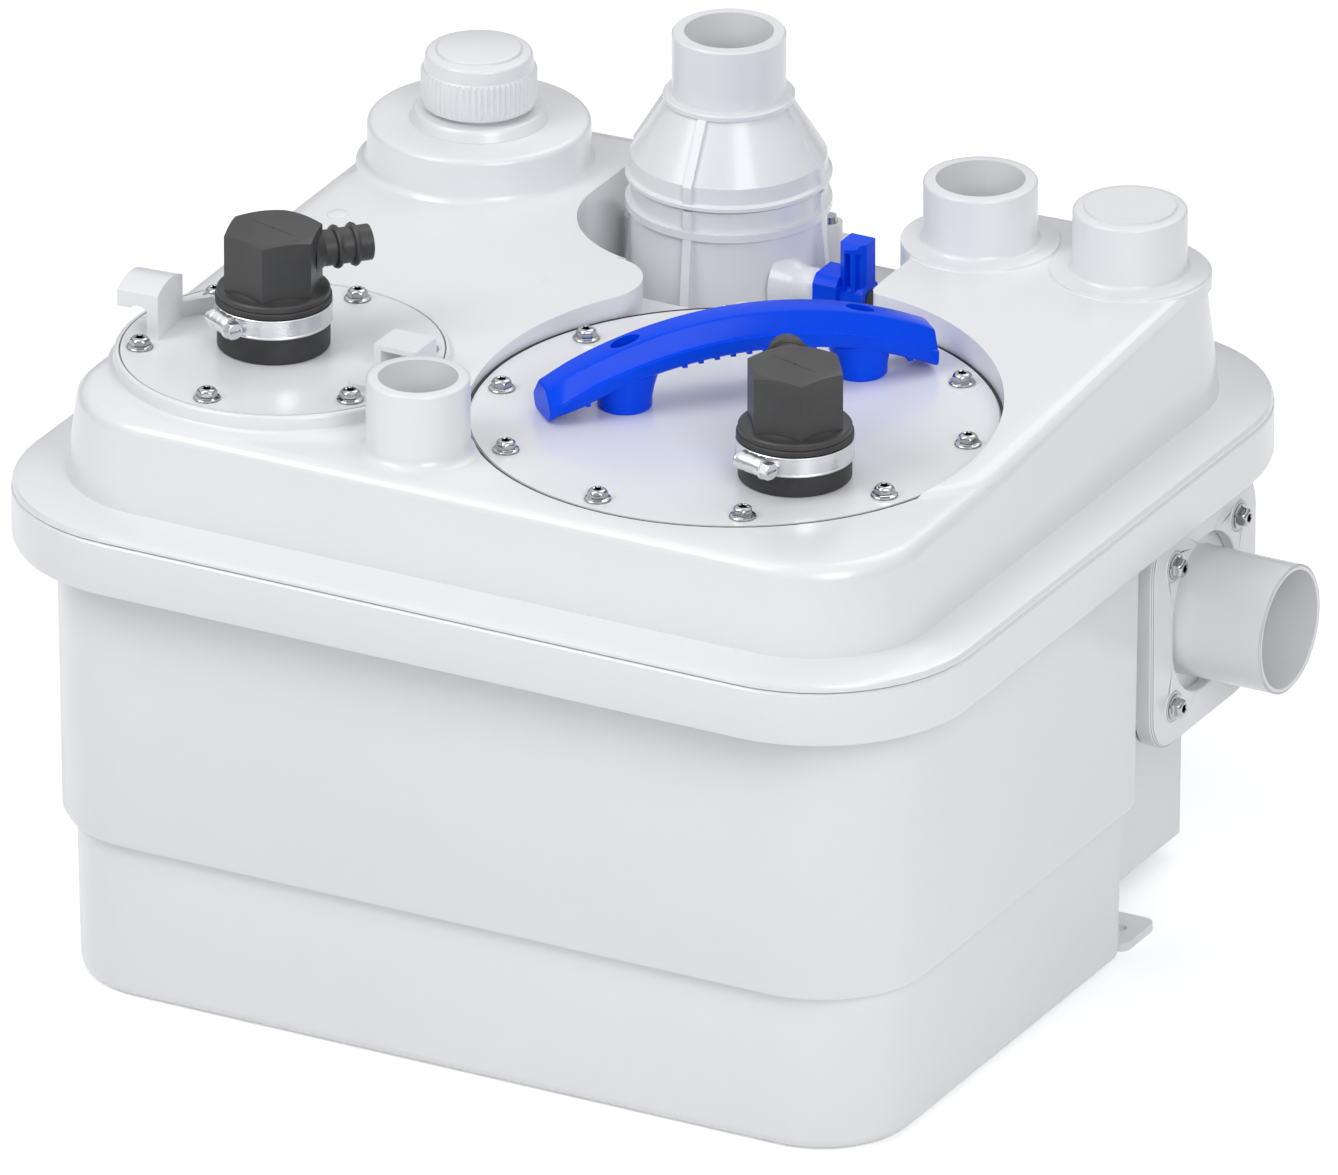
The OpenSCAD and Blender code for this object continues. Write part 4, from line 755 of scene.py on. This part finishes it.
def add_lid_marks():
    bm = bmesh.new()
    for radius, height, at in LID_MARKS:
        skin(bm, disc_rings(radius, height), mark_place("lid", *at))
    finish_piece("lid_marks", bm, MATERIALS["white_plastic"])


def cap_point_rings():
    rim = [circle(0.8, -0.3), circle(0.8, 0.12), circle(0.7, 0.2)]
    return rim + [circle(0.5, 0.2), circle(0.42, 0.05), circle(0.1, 0)]


def cap_line_ring(x, half_width, height):
    low = CAP_LINE_FOOT
    return [(x, -half_width, low), (x, -half_width, height), (x, half_width, height), (x, half_width, low)]


def add_cap_marks(node):
    place = boot_axis(node, "cap", top_of(node), CAP_LINE_TURN)
    bm = bmesh.new()
    skin(bm, cap_point_rings(), place)
    for side in (-1, 1):
        skin(bm, [cap_line_ring(side * x, half_width, height) for x, half_width, height in CAP_LINE], place)
    finish_piece(node + "_marks", bm, MATERIALS["black_plastic"])


add_lid_marks()
add_cap_marks("short_cap")
add_cap_marks("long_cap")


# Floor, lights and background

FLOOR_SIZE = 12
FLOOR_GLOW = 0.35
SOFT_LIGHT = 0.40
HORIZON = (0.10, 0.10, 0.11)
# the lamps face a point at this height over the middle of the floor
LAMP_AIM = Vector((0, 0, 0.15))
# each lamp's azimuth and elevation in degrees, distance and size in metres, and power in watts
LAMPS = {
    "key": (-38, 46, 2.6, 1.4, 20),
    "fill": (50, 32, 3.0, 1.6, 31),
    "top": (-60, 74, 2.0, 0.8, 3.0),
    "back": (170, 55, 2.8, 1.6, 12),
}


def any_ray(tree, *kinds):
    """A value that is 1 for rays of any of these kinds."""
    path = tree.nodes.new("ShaderNodeLightPath")
    value = path.outputs[kinds[0]]
    for kind in kinds[1:]:
        largest = tree.nodes.new("ShaderNodeMath")
        largest.operation = "MAXIMUM"
        tree.links.new(value, largest.inputs[0])
        tree.links.new(path.outputs[kind], largest.inputs[1])
        value = largest.outputs[0]
    return value


def add_floor():
    bpy.ops.mesh.primitive_plane_add(size=FLOOR_SIZE)
    floor = bpy.context.object
    floor.name = "floor"
    material = bpy.data.materials.new("floor")
    material.use_nodes = True
    tree = material.node_tree
    tree.nodes.clear()
    output = tree.nodes.new("ShaderNodeOutputMaterial")
    plain = tree.nodes.new("ShaderNodeBsdfDiffuse")
    plain.inputs["Color"].default_value = (0.86, 0.86, 0.86, 1)
    seen = tree.nodes.new("ShaderNodeBsdfDiffuse")
    seen.inputs["Color"].default_value = (0.95, 0.95, 0.95, 1)
    glow = tree.nodes.new("ShaderNodeEmission")
    glow.inputs["Color"].default_value = (1, 1, 1, 1)
    glow.inputs["Strength"].default_value = FLOOR_GLOW
    lifted = tree.nodes.new("ShaderNodeAddShader")
    mix = tree.nodes.new("ShaderNodeMixShader")
    link = tree.links.new
    link(seen.outputs[0], lifted.inputs[0])
    link(glow.outputs[0], lifted.inputs[1])
    link(any_ray(tree, "Is Camera Ray", "Is Glossy Ray", "Is Transmission Ray"), mix.inputs[0])
    link(plain.outputs[0], mix.inputs[1])
    link(lifted.outputs[0], mix.inputs[2])
    link(mix.outputs[0], output.inputs[0])
    floor.data.materials.append(material)


def add_lamp(name, azimuth, elevation, distance, size, power):
    lamp = bpy.data.objects.new(name, bpy.data.lights.new(name, "AREA"))
    bpy.context.scene.collection.objects.link(lamp)
    lamp.data.shape = "DISK"
    lamp.data.size = size
    lamp.data.energy = power
    a, e = math.radians(azimuth), math.radians(elevation)
    direction = Vector((math.sin(a) * math.cos(e), -math.cos(a) * math.cos(e), math.sin(e)))
    lamp.location = direction * distance + LAMP_AIM
    lamp.rotation_mode = "QUATERNION"
    lamp.rotation_quaternion = direction.to_track_quat("Z", "Y")


def backdrop(tree, color, strength):
    background = tree.nodes.new("ShaderNodeBackground")
    background.inputs["Color"].default_value = (*color, 1)
    background.inputs["Strength"].default_value = strength
    return background


def mirrored_backdrop(tree):
    """White overhead, falling to the horizon's darker tone."""
    background = backdrop(tree, (1, 1, 1), 1.0)
    direction = tree.nodes.new("ShaderNodeTexCoord")
    parts = tree.nodes.new("ShaderNodeSeparateXYZ")
    ramp = tree.nodes.new("ShaderNodeValToRGB")
    ramp.color_ramp.elements[0].position = 0.02
    ramp.color_ramp.elements[0].color = (*HORIZON, 1)
    ramp.color_ramp.elements[1].position = 0.55
    ramp.color_ramp.elements[1].color = (1, 1, 1, 1)
    tree.links.new(direction.outputs["Generated"], parts.inputs[0])
    tree.links.new(parts.outputs["Z"], ramp.inputs["Fac"])
    tree.links.new(ramp.outputs["Color"], background.inputs["Color"])
    return background


def add_world():
    """Even soft light, a white backdrop for the camera, and one with a darker horizon in reflections."""
    world = bpy.data.worlds.new("studio")
    bpy.context.scene.world = world
    world.use_nodes = True
    tree = world.node_tree
    tree.nodes.clear()
    link = tree.links.new
    output = tree.nodes.new("ShaderNodeOutputWorld")
    soft = backdrop(tree, (0.95, 0.97, 1.0), SOFT_LIGHT)
    white = backdrop(tree, (1, 1, 1), 1.0)
    mirrored = mirrored_backdrop(tree)
    reflected = tree.nodes.new("ShaderNodeMixShader")
    link(any_ray(tree, "Is Glossy Ray"), reflected.inputs[0])
    link(soft.outputs[0], reflected.inputs[1])
    link(mirrored.outputs[0], reflected.inputs[2])
    seen = tree.nodes.new("ShaderNodeMixShader")
    link(any_ray(tree, "Is Camera Ray", "Is Transmission Ray"), seen.inputs[0])
    link(reflected.outputs[0], seen.inputs[1])
    link(white.outputs[0], seen.inputs[2])
    link(seen.outputs[0], output.inputs[0])


add_camera()
add_floor()
for lamp_name, settings in LAMPS.items():
    add_lamp(lamp_name, *settings)
add_world()

scene = bpy.context.scene
scene.view_settings.view_transform = "Standard"
